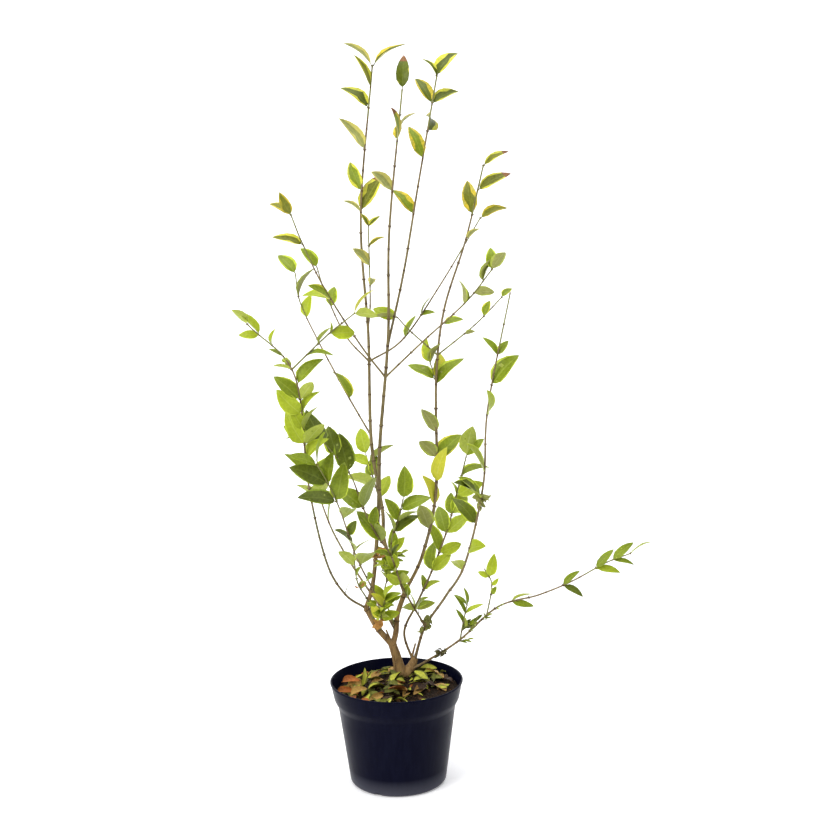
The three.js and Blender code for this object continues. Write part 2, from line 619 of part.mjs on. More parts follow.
const plant = new THREE.Group();
plant.add(namedMesh('pot', potSolid(), POT_BLACK, 0.42));
plant.add(namedMesh('compost', compost, COMPOST_BROWN, 0.95));
for (const limb of limbs) {
  const name = limb.name === 'trunk' ? 'trunk' : `bough_${limb.name}`;
  plant.add(namedMesh(name, limb.solid, BARK, 0.85));
}
for (const mass of masses) {
  if (mass.name !== 'compost') plant.add(namedMesh(mass.name, mass.solid, LEAF_GREEN, 0.45));
}

export default plant;
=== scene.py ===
"""Potted privet: the looks of a young, open, gold-edged shrub in a black nursery pot.

Sizes in the tables are millimetres and turn into metres when a piece is finished.
"""

import math
from bisect import bisect_right

import bmesh
import bpy
from mathutils import Matrix, Vector, noise


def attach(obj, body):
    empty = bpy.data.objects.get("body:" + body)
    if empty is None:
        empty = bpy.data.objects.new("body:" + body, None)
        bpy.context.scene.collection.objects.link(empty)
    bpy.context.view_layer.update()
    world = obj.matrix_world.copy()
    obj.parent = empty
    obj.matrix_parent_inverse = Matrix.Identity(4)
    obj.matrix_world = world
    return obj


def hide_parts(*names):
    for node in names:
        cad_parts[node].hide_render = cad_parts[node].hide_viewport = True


bl_info = {
    "name": "Potted Privet",
    "version": (1, 0, 0),
    "blender": (4, 5, 0),
    "location": "3D View > Sidebar > Privet",
    "description": "Dresses the solids of a potted privet with bark, leaves, pot and compost",
    "category": "Object",
}

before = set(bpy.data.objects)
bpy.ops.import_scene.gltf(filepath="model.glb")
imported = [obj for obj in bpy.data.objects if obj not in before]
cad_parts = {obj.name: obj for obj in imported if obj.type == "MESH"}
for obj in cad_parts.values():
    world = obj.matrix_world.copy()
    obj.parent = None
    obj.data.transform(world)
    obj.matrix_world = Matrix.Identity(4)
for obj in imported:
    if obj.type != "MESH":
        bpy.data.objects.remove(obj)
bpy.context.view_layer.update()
NODES = sorted(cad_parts)
MASS_NODES = [name for name in NODES if name.startswith("leaves_")]
LIMB_NODES = [name for name in NODES if name == "trunk" or name.startswith("bough_")]

MM = 0.001

# The pot, a thin-walled 3 litre container, and the compost in it
POT_HEIGHT = 150
RIM_RADIUS = 95
BASE_RADIUS = 69.5
WALL = 1.8
FLOOR = 2.6
BASE_CORNER = 7
BAND_HEIGHT = 28
BAND_FOOT_RADIUS = 89.5
BAND_FLARE = 2.4
NECK_RADIUS = 84
SHOULDER = 9
SHOULDER_EASE = 3
SHOULDER_STEPS = 10
LIP = 1.2
DRAIN_HOLES = 6
DRAIN_HOLE_RADIUS = 5
DRAIN_CIRCLE = 42
NOTCHES = 3
NOTCH_WIDTH = 12
NOTCH_HEIGHT = 5
NOTCH_HEADING = -115
SOIL_LEVEL = 142
SOIL_EDGE_LEVEL = 134
SOIL_SLOPE = 0.03
SOIL_SINK = 1.2
MOUND_RADIUS = 48
# The compost rises a little round the trunk, from the first distance to the second
LANDING = (34, 20)
LANDING_RISE = 1.2
# Lumps in the compost: how high and how far apart, and which slice of the noise each takes
LUMPS = [(1.8, 17, 3), (0.9, 6, 9)]
# The bed: its gap to the inside of the rim, its floor, and the rings of its surface
BED_GAP = 5
BED_FLOOR = 8
BED_RINGS = 44
CRUMB_SIZE = (0.5, 1.5)
CHIP_SIZE = (1.6, 2.6)

# How leaves and twigs grow, as in the solids: each pair is a least amount and the spread above it
LEAF_WIDTH = 0.46
SMALL_LEAF = 0.6
SWING = 0.9
OPEN = (0.3, 0.5)
ROLL = (0.35, 0.95)
SIZE = (0.82, 0.36)
ARCH = (0.1, 0.26)
TIP_LEAF_OPENING = 0.12
FACE_LEAN = 0.25
SPRIG_LENGTH = 30
SPRIG_BOW = 2
SPRIG_LEAF = 0.8
FIRST_NODE = 0.04
TWIG_FIRST_NODE = 0.24
HEADINGS = {
    "L": (-1, 0, 0), "R": (1, 0, 0), "F": (0, -1, 0), "B": (0, 1, 0), "U": (0, 0, 1), "D": (0, 0, -1),
}

# The trunk with its root flare, the root crown beside it and two dead spurs
TRUNK = dict(foot=(6, 36, SOIL_LEVEL), bends=[(1, 36, 167)], tip=(-5, 35, 189), thick=(8.2, 6.2))
FLARE = 5
FLARE_REACH = 0.45
FLARE_LOBES = 5
LOBE_DEPTH = 0.3
ROOT_CROWN = dict(foot=(10, 37, 140), bends=[(21, 42, 153)], tip=(27, 46, 165), thick=(10, 4.6))
DEAD_SPURS = [
    dict(foot=(22, 44, 158), bends=[(24, 46, 172)], tip=(28, 50, 186), thick=(1.9, 1.3)),
    dict(foot=(-2, 36, 186), bends=[(-9, 32, 200)], tip=(-14, 29, 214), thick=(2.0, 1.2)),
]

# Every limb and shoot: its name, what it grows from and how far along that, its turns, its tip, its radius at
# foot and tip, and, if it has leaves, how far along it they begin, one word for each leafy node (a letter for
# each leaf's heading, small for a small leaf, + for a sprig, a dot for a bare node), and the leaves' length
SHOOTS = [
    ("left_limb", "trunk", 1, [(-26, 31, 216)], (-42, 28, 247), (4.7, 3.8)),
    ("centre_limb", "trunk", 1, [(0, 37, 208), (3, 40, 234)], (14, 44, 265), (4.2, 3.6)),
    (
        "tall_left", "centre_limb", 1,
        [(-13, 51, 336), (-16, 58, 385), (-30, 70, 485), (-31, 84, 636), (-38, 98, 806)], (-17, 106, 1013),
        (2.9, 1.2), 0.72, "Rl L . L . L F LR", 54,
    ),
    (
        "tall_centre", "left_limb", 1, [(-30, 25, 292), (-20, 12, 403), (-16, 2, 492), (-1, -14, 645), (4, -30, 789)],
        (25, -52, 972), (3.2, 1.1), 0.81, "L . FB . A", 46,
    ),
    (
        "tall_right", "tall_centre", 0.53, [(22, -3, 731), (44, 10, 848)], (72, 30, 993), (1.8, 1.1), 0.47,
        "L . L B LR lR", 46,
    ),
    ("tall_twin", "tall_left", 0.51, [(-27, 80, 686)], (-27, 72, 791), (1.2, 0.9), 0, ". F L R rl", 30),
    (
        "right_main", "centre_limb", 1, [(41, 50, 320), (62, 61, 412), (65, 74, 570), (78, 81, 670), (111, 90, 770)],
        (137, 96, 872), (2.6, 1.1), 0.12, "L L F LR L . Rl+ . . . . . r L R R", 46,
    ),
    ("main_left_twig", "right_main", 0.56, [(29, 62, 643)], (12, 54, 663), (1.2, 0.9), 0, ". . LL", 34),
    ("main_right_twig", "right_main", 0.56, [(123, 102, 646)], (163, 122, 683), (1.2, 0.9), 0, ". r . U . A", 26),
    (
        "right_outer", "crown", 1, [(42, 38, 214), (72, 18, 265), (100, -15, 323), (124, -65, 444), (130, -92, 554)],
        (159, -120, 709), (2.2, 0.9), 0.26, "L F L LL L . F R lr . .", 46,
    ),
    (
        "back_right", "crown", 0.8, [(12, 54, 202), (31, 68, 240), (53, 92, 280), (78, 124, 335), (93, 150, 381)],
        (110, 165, 440), (1.9, 1.1), 0.22, "lrf lrb LR LR LR LR lR R RA", 46,
    ),
    (
        "left_outer", "left_limb", 1, [(-71, 8, 275), (-94, -28, 334), (-112, -72, 454), (-124, -95, 604)],
        (-182, -107, 674), (1.8, 0.9), 0.42, "R . L R LR LR RL RL R l l r lU a", 42,
    ),
    ("left_outer_fork", "left_outer", 0.83, [(-81, -78, 654)], (-45, -64, 681), (1.2, 0.9), 0, "R u lR . UR", 38),
    (
        "left_back", "centre_limb", 0.35, [(-22, 54, 241), (-71, 104, 303), (-104, 142, 362)], (-135, 175, 468),
        (1.9, 1.0), 0.58, "R L FR . LA", 40,
    ),
    (
        "left_front", "centre_limb", 0.25, [(-29, 10, 276), (-52, -40, 344), (-69, -86, 418), (-84, -108, 462)],
        (-96, -118, 488), (1.4, 0.9), 0.3, "f R A r R LR LR LR", 48,
    ),
    (
        "left_low", "left_limb", 0.6, [(-38, 12, 262), (-52, -6, 296)], (-56, -14, 340), (1.4, 0.9), 0, ". . r F L R",
        30,
    ),
    ("mid_spray", "tall_left", 0.16, [(-28, 78, 425)], (-39, 95, 459), (1.2, 0.9), 0, "R L RB LR A", 40),
    (
        "left_back_high", "tall_left", 0.31, [(-65, 100, 549), (-106, 128, 624), (-132, 144, 680)], (-138, 150, 721),
        (1.4, 0.9), 0.2, "U . . . R R L", 40,
    ),
    (
        "left_high_back", "tall_left", 0.45, [(-65, 100, 635), (-93, 116, 696)], (-104, 122, 731), (1.3, 0.9), 0.6,
        "R . L", 34,
    ),
    (
        "left_high_front", "tall_centre", 0.47, [(-38, -22, 633), (-83, -52, 713), (-110, -72, 776)],
        (-123, -80, 813), (1.4, 0.9), 0.5, "FL . L LF", 38,
    ),
    (
        "right_high_back", "tall_left", 0.45, [(19, 98, 628), (74, 120, 703)], (134, 142, 797), (1.4, 0.9), 0.2,
        "U Ur . . . R", 36,
    ),
    (
        "right_high_front", "tall_centre", 0.47, [(45, -28, 637), (104, -58, 693)], (138, -80, 737), (1.4, 0.9), 0.5,
        "R . LU R UL UA", 32,
    ),
    (
        "low_right", "crown", 0.35,
        [(42, 34, 163), (91, 20, 199), (146, 3, 253), (203, -12, 274), (249, -22, 296), (295, -31, 324)],
        (328, -36, 338), (1.9, 0.9), 0.2, ". . . . DU . . UD . UD UD U", 32,
    ),
    ("low_twig_near", "low_right", 0.25, [(97, 20, 225)], (103, 18, 252), (1.1, 0.9), 0, "R L RL LA", 25),
    ("low_twig_far", "low_right", 0.4, [(138, 4, 285)], (128, 2, 309), (1.1, 0.9), 0, ". r r lR .", 28),
    (
        "inner_front", "right_outer", 0.09,
        [(12, 8, 282), (-4, -23, 339), (-21, -24, 365), (-40, -25, 406), (-58, -25, 456)], (-92, -28, 501),
        (1.5, 0.9), 0.06, "lr bf lr fb lr Ar r LR . R R LF", 50,
    ),
    (
        "inner_fork", "inner_front", 0.43, [(-2, -28, 363), (7, -31, 389)], (15, -34, 421), (1.1, 0.9), 0,
        ". LR LR R A", 38,
    ),
    (
        "inner_centre", "centre_limb", 0.3, [(-15, 33, 263), (-9, 30, 295)], (-3, 24, 331), (1.3, 0.9), 0,
        ". L . R FB LF RA", 32,
    ),
    ("inner_low", "left_limb", 0.4, [(-20, 14, 236)], (-14, -6, 268), (1.2, 0.9), 0, ". LR F LR RA", 26),
]

# Leaf colours by shoot: gold-edged at the top, lime-edged half way, plain green below
GOLD_SHOOTS = ("tall_left", "tall_centre", "tall_right", "tall_twin")
EDGED_SHOOTS = (
    "left_high_front", "left_high_back", "left_back_high", "right_high_back", "right_high_front",
    "main_left_twig", "main_right_twig", "right_main",
)
DEEP_SHOOTS = ("left_front", "inner_front", "inner_fork")
PLAIN_SHOOTS = ("low_right", "low_twig_near")
LIGHT_SHOOTS = ("left_outer", "left_outer_fork", "inner_centre", "inner_low", "mid_spray", "low_twig_far")
# Shoots whose leaves all turn their faces to the front
OPEN_SHOOTS = ("low_twig_far", "inner_centre")
THIN_BOUGHS = ("left_outer", "left_front", "left_back", "right_outer", "back_right", "low_right", "inner_front")
# The share of a shoot's leaves that are turning yellow, where it isn't the usual few
USUAL_YELLOWING = 0.03
YELLOWING = {
    "right_main": 0.16, "mid_spray": 0.25, "inner_low": 0.2, "inner_front": 0.06, "low_right": 0, "left_front": 0,
    "left_low": 0, "left_back": 0, "tall_left": 0, "tall_centre": 0, "tall_right": 0,
}


# Small helpers


def linear(code):
    """An sRGB hex colour as linear RGBA."""
    parts = [int(code[i : i + 2], 16) / 255 for i in (1, 3, 5)]
    return (*[c / 12.92 if c <= 0.04045 else ((c + 0.055) / 1.055) ** 2.4 for c in parts], 1.0)


def seeded_random(seed):
    """The same row of random numbers that the solids are grown from."""
    state = seed & 0xFFFFFFFF

    def draw():
        nonlocal state
        state = (state + 0x6D2B79F5) & 0xFFFFFFFF
        t = state
        t = ((t ^ (t >> 15)) * (t | 1)) & 0xFFFFFFFF
        t ^= (t + ((t ^ (t >> 7)) * (t | 61))) & 0xFFFFFFFF
        return ((t ^ (t >> 14)) & 0xFFFFFFFF) / 4294967296

    return draw


def seed_of(name):
    seed = 7
    for letter in name:
        seed = (seed * 31 + ord(letter)) % 1000003
    return seed


def drawn(pair, draw):
    """A drawn amount between a least one and the spread above it."""
    return pair[0] + pair[1] * draw


def smooth(low, high, x):
    x = min(1.0, max(0.0, (x - low) / (high - low)))
    return x * x * (3 - 2 * x)


def square_to(axis, vector):
    """The part of a vector that is square to an axis, made one long."""
    return (vector - axis * vector.dot(axis)).normalized()


class Path:
    """A smooth curve through a limb's points, measured along its length from 0 to 1."""

    STEPS = 200

    def __init__(self, *points):
        self.points = [Vector(p) for p in points]
        marks = [self.raw(i / self.STEPS) for i in range(self.STEPS + 1)]
        self.lengths = [0.0]
        for a, b in zip(marks, marks[1:]):
            self.lengths.append(self.lengths[-1] + (b - a).length)
        self.length = self.lengths[-1]

    def raw(self, t):
        points = self.points
        p = (len(points) - 1) * t
        k = min(int(p), len(points) - 2)
        w = p - k
        before = points[k - 1] if k > 0 else points[0] * 2 - points[1]
        after = points[k + 2] if k + 2 < len(points) else points[-1] * 2 - points[-2]
        a, b = points[k], points[k + 1]
        m0, m1 = (b - before) * 0.5, (after - a) * 0.5
        return a + m0 * w + (3 * (b - a) - 2 * m0 - m1) * w**2 + (2 * (a - b) + m0 + m1) * w**3

    def parameter(self, s):
        target = s * self.length
        k = min(max(bisect_right(self.lengths, target) - 1, 0), self.STEPS - 1)
        step = self.lengths[k + 1] - self.lengths[k]
        return (k + (target - self.lengths[k]) / step) / self.STEPS

    def point(self, s):
        return self.raw(self.parameter(s))

    def tangent(self, s):
        t = self.parameter(s)
        return (self.raw(min(1, t + 1e-4)) - self.raw(max(0, t - 1e-4))).normalized()


# The plan of the plant: where every leaf and twig stands


def new_limb(name, foot, bends, tip, thick, bare=1, leaves="", size=0, own_foot=False):
    """A limb with its path. It has leaves from the part bare of its length on, and own_foot says that its bare
    stretch grows from a bare stretch of another limb."""
    return dict(
        name=name, path=Path(foot, *bends, tip), thick=thick, bare=bare, leaves=leaves, size=size, own_foot=own_foot
    )


def radius_at(limb, s):
    foot, tip = limb["thick"]
    return foot + (tip - foot) * s


def aim(draw, letter, tangent):
    """The way a leaf or a sprig leaves its node."""
    swing, opened, roll, size, bend = draw(), draw(), draw(), draw(), draw()
    heading = Matrix.Rotation((swing - 0.5) * SWING, 3, "Z") @ Vector(HEADINGS.get(letter, (0, 0, 1)))
    heading = square_to(tangent, heading)
    opening = TIP_LEAF_OPENING if letter == "A" else drawn(OPEN, opened)
    axis = (tangent * math.cos(opening) + heading * math.sin(opening)).normalized()
    up = square_to(axis, Vector((0, 0, 1)) - heading * FACE_LEAN)
    turn = math.copysign(drawn(ROLL, abs(2 * roll - 1)), roll - 0.5)
    up = Matrix.Rotation(turn, 3, axis) @ up
    return dict(axis=axis, up=up, size=drawn(SIZE, size), arch=drawn(ARCH, bend))


def nodes_of(shoot):
    """Each leafy node's word and its place along the shoot."""
    words, bare = shoot["leaves"].split(" "), shoot["bare"]
    first = bare + (FIRST_NODE if bare > 0 else TWIG_FIRST_NODE) * (1 - bare)
    last = max(1, len(words) - 1)
    return [(word, first + (1 - first) * (k / last if len(words) > 1 else 1)) for k, word in enumerate(words)]


def growth(shoot, draw):
    """A shoot's leaves and sprigs, node by node from where the leaves begin to its tip."""
    leaves, sprigs = [], []
    for word, s in nodes_of(shoot):
        tangent, base = shoot["path"].tangent(s), shoot["path"].point(s)
        for i, letter in enumerate(word):
            if letter in ".+":
                continue
            way = aim(draw, letter.upper(), tangent)
            if word[i + 1 : i + 2] == "+":
                sprigs.append(dict(base=base, way=way, size=shoot["size"]))
            else:
                length = shoot["size"] * way["size"] * (SMALL_LEAF if letter.islower() else 1)
                leaves.append(dict(way, base=base, length=length))
    return leaves, sprigs


def sprig_shoot(sprig, index, parent):
    """A short side twig with a pair of leaves half way, a crossed pair above it, and a tip leaf."""
    reach = sprig["base"] + sprig["way"]["axis"] * SPRIG_LENGTH * sprig["way"]["size"]
    middle = sprig["base"].lerp(reach, 0.5) + sprig["way"]["up"] * SPRIG_BOW
    leaves = "LR UA" if index % 2 else "FB UA"
    name, size = f"{parent}_sprig_{index}", sprig["size"] * SPRIG_LEAF
    return new_limb(name, sprig["base"], [middle], reach, (1.1, 0.9), 0, leaves, size)


def grown_plant():
    """Every limb by its name, and the leafy ones and their sprigs with their leaves as blades."""
    grown = {"trunk": new_limb("trunk", **TRUNK), "crown": new_limb("crown", **ROOT_CROWN)}
    for name, parent_name, at, *shape in SHOOTS:
        parent = grown[parent_name]
        own_foot = not (parent["leaves"] and at >= parent["bare"])
        grown[name] = new_limb(name, parent["path"].point(at), *shape, own_foot=own_foot)
    shoots = [shoot for shoot in grown.values() if shoot["leaves"]]
    for shoot in shoots:
        shoot["blades"], sprigs = growth(shoot, seeded_random(seed_of(shoot["name"])))
        shoots += [sprig_shoot(sprig, index, shoot["name"]) for index, sprig in enumerate(sprigs, 1)]
    return grown, shoots


GROWN, LEAFY = grown_plant()


# Materials: one function adds a node, the others name the real finish that they make


def add_node(tree, kind, sockets=(), **settings):
    """Adds a node, sets its properties, and sets or links its sockets."""
    node = tree.nodes.new(kind)
    for name, value in settings.items():
        setattr(node, name, value)
    for name, value in dict(sockets).items():
        if isinstance(value, bpy.types.NodeSocket):
            tree.links.new(value, node.inputs[name])
        else:
            node.inputs[name].default_value = value
    return node


def new_material(name, **surface):
    """A material with a Principled surface, and its tree and surface node."""
    material = bpy.data.materials.new(name)
    material.use_nodes = True
    tree = material.node_tree
    shader = tree.nodes["Principled BSDF"]
    for socket, value in surface.items():
        shader.inputs[socket.replace("_", " ")].default_value = value
    return material, tree, shader


def own_place(tree):
    """Where a point lies on the piece, in metres."""
    return add_node(tree, "ShaderNodeTexCoord").outputs["Object"]


def mottle(tree, size_mm, low, high, detail=4.0, stretch=(1, 1, 1), seed=(0, 0, 0)):
    """A noise in the object's own millimetres, eased between two levels."""
    place = own_place(tree)
    spread = add_node(tree, "ShaderNodeMapping", {"Vector": place, "Scale": stretch, "Location": seed}).outputs[0]
    grain = add_node(tree, "ShaderNodeTexNoise", {"Vector": spread, "Scale": 1 / (size_mm * MM), "Detail": detail})
    eased = add_node(
        tree, "ShaderNodeMapRange", {0: grain.outputs[0], 1: low, 2: high}, interpolation_type="SMOOTHSTEP"
    )
    return eased.outputs[0]


def blended(tree, mask, a, b):
    """Colour a where the mask is 0 and b where it is 1, each a hex code or a socket."""
    a, b = (linear(c) if isinstance(c, str) else c for c in (a, b))
    return add_node(tree, "ShaderNodeMix", {0: mask, 6: a, 7: b}, data_type="RGBA").outputs[2]


def calculated(tree, operation, a, b=0.0, c=0.0):
    return add_node(tree, "ShaderNodeMath", {0: a, 1: b, 2: c}, operation=operation).outputs[0]


def ranged(tree, value, low, high, to_low=0.0, to_high=1.0):
    return add_node(tree, "ShaderNodeMapRange", {0: value, 1: low, 2: high, 3: to_low, 4: to_high}).outputs[0]


def by_height(tree, low, high, at_low=0.0, at_high=1.0):
    """A value that runs from at_low to at_high between two heights in metres."""
    height = add_node(tree, "ShaderNodeSeparateXYZ", {0: own_place(tree)}).outputs[2]
    return ranged(tree, height, low, high, at_low, at_high)


def dress(tree, shader, colour, height, strength, depth_mm, sunk=False):
    """Gives a surface its colour, and relief where height is high: raised, or sunk."""
    tree.links.new(colour, shader.inputs["Base Color"])
    sockets = {"Height": height, "Strength": strength, "Distance": depth_mm * MM}
    relief = add_node(tree, "ShaderNodeBump", sockets, invert=sunk)
    tree.links.new(relief.outputs[0], shader.inputs["Normal"])


# Seven pairs of side veins are about 6 mm apart on a 45 mm leaf
VEIN_PAIRS = 7
VEIN_SLANT = 0.55


def leaf_material(name, base, patch, rib, roughness=0.42, patchiness=0.55):
    """A privet leaf's waxy skin: mottled in 3 mm patches and from leaf to leaf, with a faint midrib and veins."""
    material, tree, shader = new_material(name, Roughness=roughness, IOR=1.45, Specular_IOR_Level=0.25)
    uv = add_node(tree, "ShaderNodeSeparateXYZ", {0: add_node(tree, "ShaderNodeUVMap", uv_map="blade").outputs[0]})
    across = calculated(tree, "ABSOLUTE", calculated(tree, "SUBTRACT", uv.outputs[0], 0.5))
    midrib = ranged(tree, across, 0.008, 0.03, 1.0, 0.0)
    slant = calculated(tree, "MULTIPLY_ADD", across, -VEIN_SLANT, uv.outputs[1])
    wave = calculated(tree, "COSINE", calculated(tree, "MULTIPLY", slant, VEIN_PAIRS * 2 * math.pi))
    lines = calculated(tree, "MAXIMUM", midrib, ranged(tree, wave, 0.86, 1.0, 0.0, 0.35))
    blotch = mottle(tree, 3.2, 0.5 - patchiness * 0.25, 0.5 + patchiness * 0.25)
    drift = mottle(tree, 42, 0.36, 0.64, detail=1.0, seed=(5, 5, 5))
    skin = blended(tree, calculated(tree, "MULTIPLY", calculated(tree, "ADD", blotch, drift), 0.5), base, patch)
    colour = blended(tree, calculated(tree, "MULTIPLY", lines, 0.3), skin, rib)
    dress(tree, shader, colour, lines, 0.35, 0.4, sunk=True)
    sheen = ranged(tree, mottle(tree, 1.4, 0.3, 0.7), 0.0, 1.0, roughness - 0.06, roughness + 0.1)
    tree.links.new(sheen, shader.inputs["Roughness"])
    return material


def bark_material(name, pale, dark, ridge_mm, lenticels=0.35, higher=None):
    """Smooth young bark: fine lengthwise ribs, darker stains and pale breathing pores. higher names the two
    tones that it takes on above 0.4 m."""
    material, tree, shader = new_material(name, Roughness=0.8, IOR=1.45, Specular_IOR_Level=0.3)
    stain = mottle(tree, 9, 0.35, 0.65, stretch=(1, 1, 0.35))
    ribs = mottle(tree, ridge_mm, 0.35, 0.65, stretch=(1, 1, 0.12), seed=(3, 1, 2))
    pores = mottle(tree, 1.1, 0.64, 0.72, detail=1.0, stretch=(1, 1, 0.8), seed=(7, 5, 1))
    if higher:
        height = by_height(tree, 0.2, 0.4)
        pale, dark = (blended(tree, height, low, high) for low, high in zip((pale, dark), higher))
    colour = blended(tree, calculated(tree, "MULTIPLY", stain, ribs), pale, dark)
    colour = blended(tree, calculated(tree, "MULTIPLY", pores, lenticels), colour, "#b8a684")
    dress(tree, shader, colour, ribs, 0.45, 0.5, sunk=True)
    return material


def pot_plastic():
    """Moulded recycled polypropylene: blue-black, satin, with faint flow streaks and scuffs, and a paler foot that is
    a painted reflection of the white floor.
    """
    material, tree, shader = new_material(
        "polypropylene_moulded_black", Roughness=0.34, IOR=1.49, Specular_IOR_Level=0.04
    )
    streak = mottle(tree, 5, 0.3, 0.7, stretch=(1, 1, 0.1))
    scuff = mottle(tree, 2.2, 0.6, 0.74, detail=6.0, seed=(4, 4, 4))
    colour = blended(tree, streak, "#040518", "#080a1d")
    colour = blended(tree, calculated(tree, "MULTIPLY", scuff, 0.1), colour, "#2a2c38")
    # Painted reflection: over the bottom 26 mm the colour is blended, up to 30 %, into a pale grey that stands in for
    # the white floor reflected in the pot's foot.
    colour = blended(tree, by_height(tree, 0.002, 0.026, 0.3, 0.0), colour, "#7b7c88")
    dress(tree, shader, colour, mottle(tree, 0.9, 0.2, 0.8), 0.06, 0.3)
    tree.links.new(ranged(tree, scuff, 0.0, 1.0, 0.32, 0.46), shader.inputs["Roughness"])
    return material


def soil_material(name, dark, pale, size_mm):
    """Moist, fibrous compost: near black, with browner crumbs and fibres."""
    material, tree, shader = new_material(name, Roughness=0.95, IOR=1.4, Specular_IOR_Level=0.25)
    crumbs = mottle(tree, size_mm, 0.35, 0.72, detail=8.0)
    dress(tree, shader, blended(tree, crumbs, dark, pale), crumbs, 0.7, 1.0)
    return material


def floor_material(colour):
    """White seamless studio paper, matt with a faint tooth, and softly lit through from behind."""
    material, tree, shader = new_material(
        "studio_paper_white", Roughness=0.9, Specular_IOR_Level=0.2, Emission_Strength=0.22
    )
    tree.links.new(blended(tree, mottle(tree, 14, 0.2, 0.8), tuple(colour), "#f7f7f8"), shader.inputs["Base Color"])
    return material


# Meshes


def mesh_of(bm, name, materials=()):
    """Turns a bmesh into a mesh with its materials."""
    mesh = bpy.data.meshes.new(name)
    bm.to_mesh(mesh)
    bm.free()
    for material in materials:
        mesh.materials.append(material)
    return mesh


def new_object(name, data):
    """A new object in the scene."""
    made = bpy.data.objects.new(name, data)
    bpy.context.scene.collection.objects.link(made)
    return made


def finish_piece(bm, name, materials, replaced=()):
    """Turns millimetres to metres and makes the piece, which rides on the plant's one body."""
    bmesh.ops.scale(bm, vec=(MM, MM, MM), verts=bm.verts)
    piece = new_object(name, mesh_of(bm, name, materials))
    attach(piece, "root")
    if replaced:
        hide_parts(*replaced)
    return piece


def counts(bm):
    return len(bm.verts), len(bm.faces)


def added(bm, before):
    """The vertices and faces that were made since the counts before."""
    bm.verts.ensure_lookup_table()
    bm.faces.ensure_lookup_table()
    return bm.verts[before[0] :], bm.faces[before[1] :]


def add_tube(bm, sides, rings):
    """A capped upright tube of radius and height 1, with rings between its ends."""
    made = bmesh.ops.create_cone(bm, cap_ends=True, segments=sides, radius1=1, radius2=1, depth=1)
    edges = dict.fromkeys(e for v in made["verts"] for e in v.link_edges)
    rising = [e for e in edges if abs(e.verts[0].co.z - e.verts[1].co.z) > 0.5]
    if rings:
        bmesh.ops.subdivide_edges(bm, edges=rising, cuts=rings, use_grid_fill=True)


def side_axis(path):
    chord = (path.point(1) - path.point(0)).normalized()
    return Vector((0, 1, 0)) if abs(chord.y) < 0.8 else Vector((1, 0, 0))


def add_rod(bm, path, radius, sides, step, start=0.0, end=1.0, material=None):
    """A rod along a path. radius(s, angle) gives its size, and material(s) the slot of its faces."""
    before = counts(bm)
    add_tube(bm, sides, max(1, round((end - start) * path.length / step)) - 1)
    verts, faces = added(bm, before)
    across = side_axis(path)
    rings, places = {}, {}
    for vert in verts:
        s = places[vert] = start + (end - start) * (vert.co.z + 0.5)
        key = round(s * 1e5)
        if key not in rings:
            tangent = path.tangent(min(1, max(0, s)))
            side = square_to(tangent, across)
            rings[key] = (path.point(min(1, max(0, s))), side, side.cross(tangent))
        centre, side, other = rings[key]
        angle = math.atan2(vert.co.y, vert.co.x)
        reach = radius(s, angle)
        vert.co = centre + side * (math.cos(angle) * reach) + other * (math.sin(angle) * reach)
    for face in faces:
        face.normal_update()
    bmesh.ops.recalc_face_normals(bm, faces=faces)
    for face in faces:
        face.smooth = len(face.verts) == 4
        if material:
            face.material_index = material(sum(places[v] for v in face.verts) / len(face.verts))


# How far a node and a limb's foot stand out, as a part of the radius, how far up and down a node's swelling and
# a foot's collar run, how far apart bare nodes are, and how wide a node's dark band is on each side
SWELL = 0.2
SWELL_REACH = 1.6
COLLAR = 0.3
COLLAR_REACH = 5.0
NODE_SPACING = (24, 20)
NODE_BAND = 0.9


def bark_radius(limb, relief, knuckles=(), flare=None):
    """A limb's radius with its taper, the collar at its foot or its root flare, swollen nodes and the relief of
    its bark."""
    length = limb["path"].length
    offset = (seed_of(limb["name"]) % 97) * 1.7

    def radius(s, angle):
        base, along = radius_at(limb, s), s * length
        collar = COLLAR * math.exp(-along / COLLAR_REACH)
        if flare is not None:
            lobes = 1 - LOBE_DEPTH + LOBE_DEPTH * math.cos(FLARE_LOBES * angle)
            base += flare * max(0, 1 - s / FLARE_REACH) ** 2 * lobes
            collar = 0.0
        swell = sum(SWELL * math.exp(-(((along - k) / SWELL_REACH) ** 2)) for k in knuckles if abs(along - k) < 6)
        ribs = noise.noise(Vector((math.cos(angle) * 2.4, math.sin(angle) * 2.4, along / 14 + offset)))
        pits = noise.noise(Vector((math.cos(angle) * 5, math.sin(angle) * 5, along / 3.5 + offset)))
        return base * (1 + collar + swell) + relief * base * (0.7 * ribs + 0.3 * pits)

    return radius


def knuckles_of(shoot):
    """Where a shoot's nodes are, in millimetres from its foot: bare ones at uneven steps, then the leafy ones."""
    length = shoot["path"].length
    draw = seeded_random(seed_of(shoot["name"] + " nodes"))
    marks, along = [], drawn(NODE_SPACING, draw())
    while along < shoot["bare"] * length:
        marks.append(along)
        along += drawn(NODE_SPACING, draw())
    if shoot["leaves"]:
        marks += [s * length for _, s in nodes_of(shoot)]
    return marks


def near_node(shoot, plain, dark, tone=None):
    """The slot of a rod's faces: dark at the shoot's nodes, and plain or by tone(s) between them."""
    marks, length = knuckles_of(shoot), shoot["path"].length

    def slot(s):
        if any(abs(s * length - mark) < NODE_BAND for mark in marks):
            return dark
        return tone(s) if tone else plain

    return slot


# Leaves

# How far along a leaf the rows of its mesh are, and how wide it is there
LEAF_ROWS = (0.0, 0.07, 0.13, 0.27, 0.45, 0.64, 0.81, 0.93, 1.0)
LEAF_OUTLINE = (0.0, 0.0, 0.45, 0.9, 1.0, 0.92, 0.64, 0.3, 0.0)
LEAF_SPOKES = (1, 0.5, 0, -0.5, -1, -0.5, 0, 0.5)
LAST_ROW = len(LEAF_ROWS) - 1
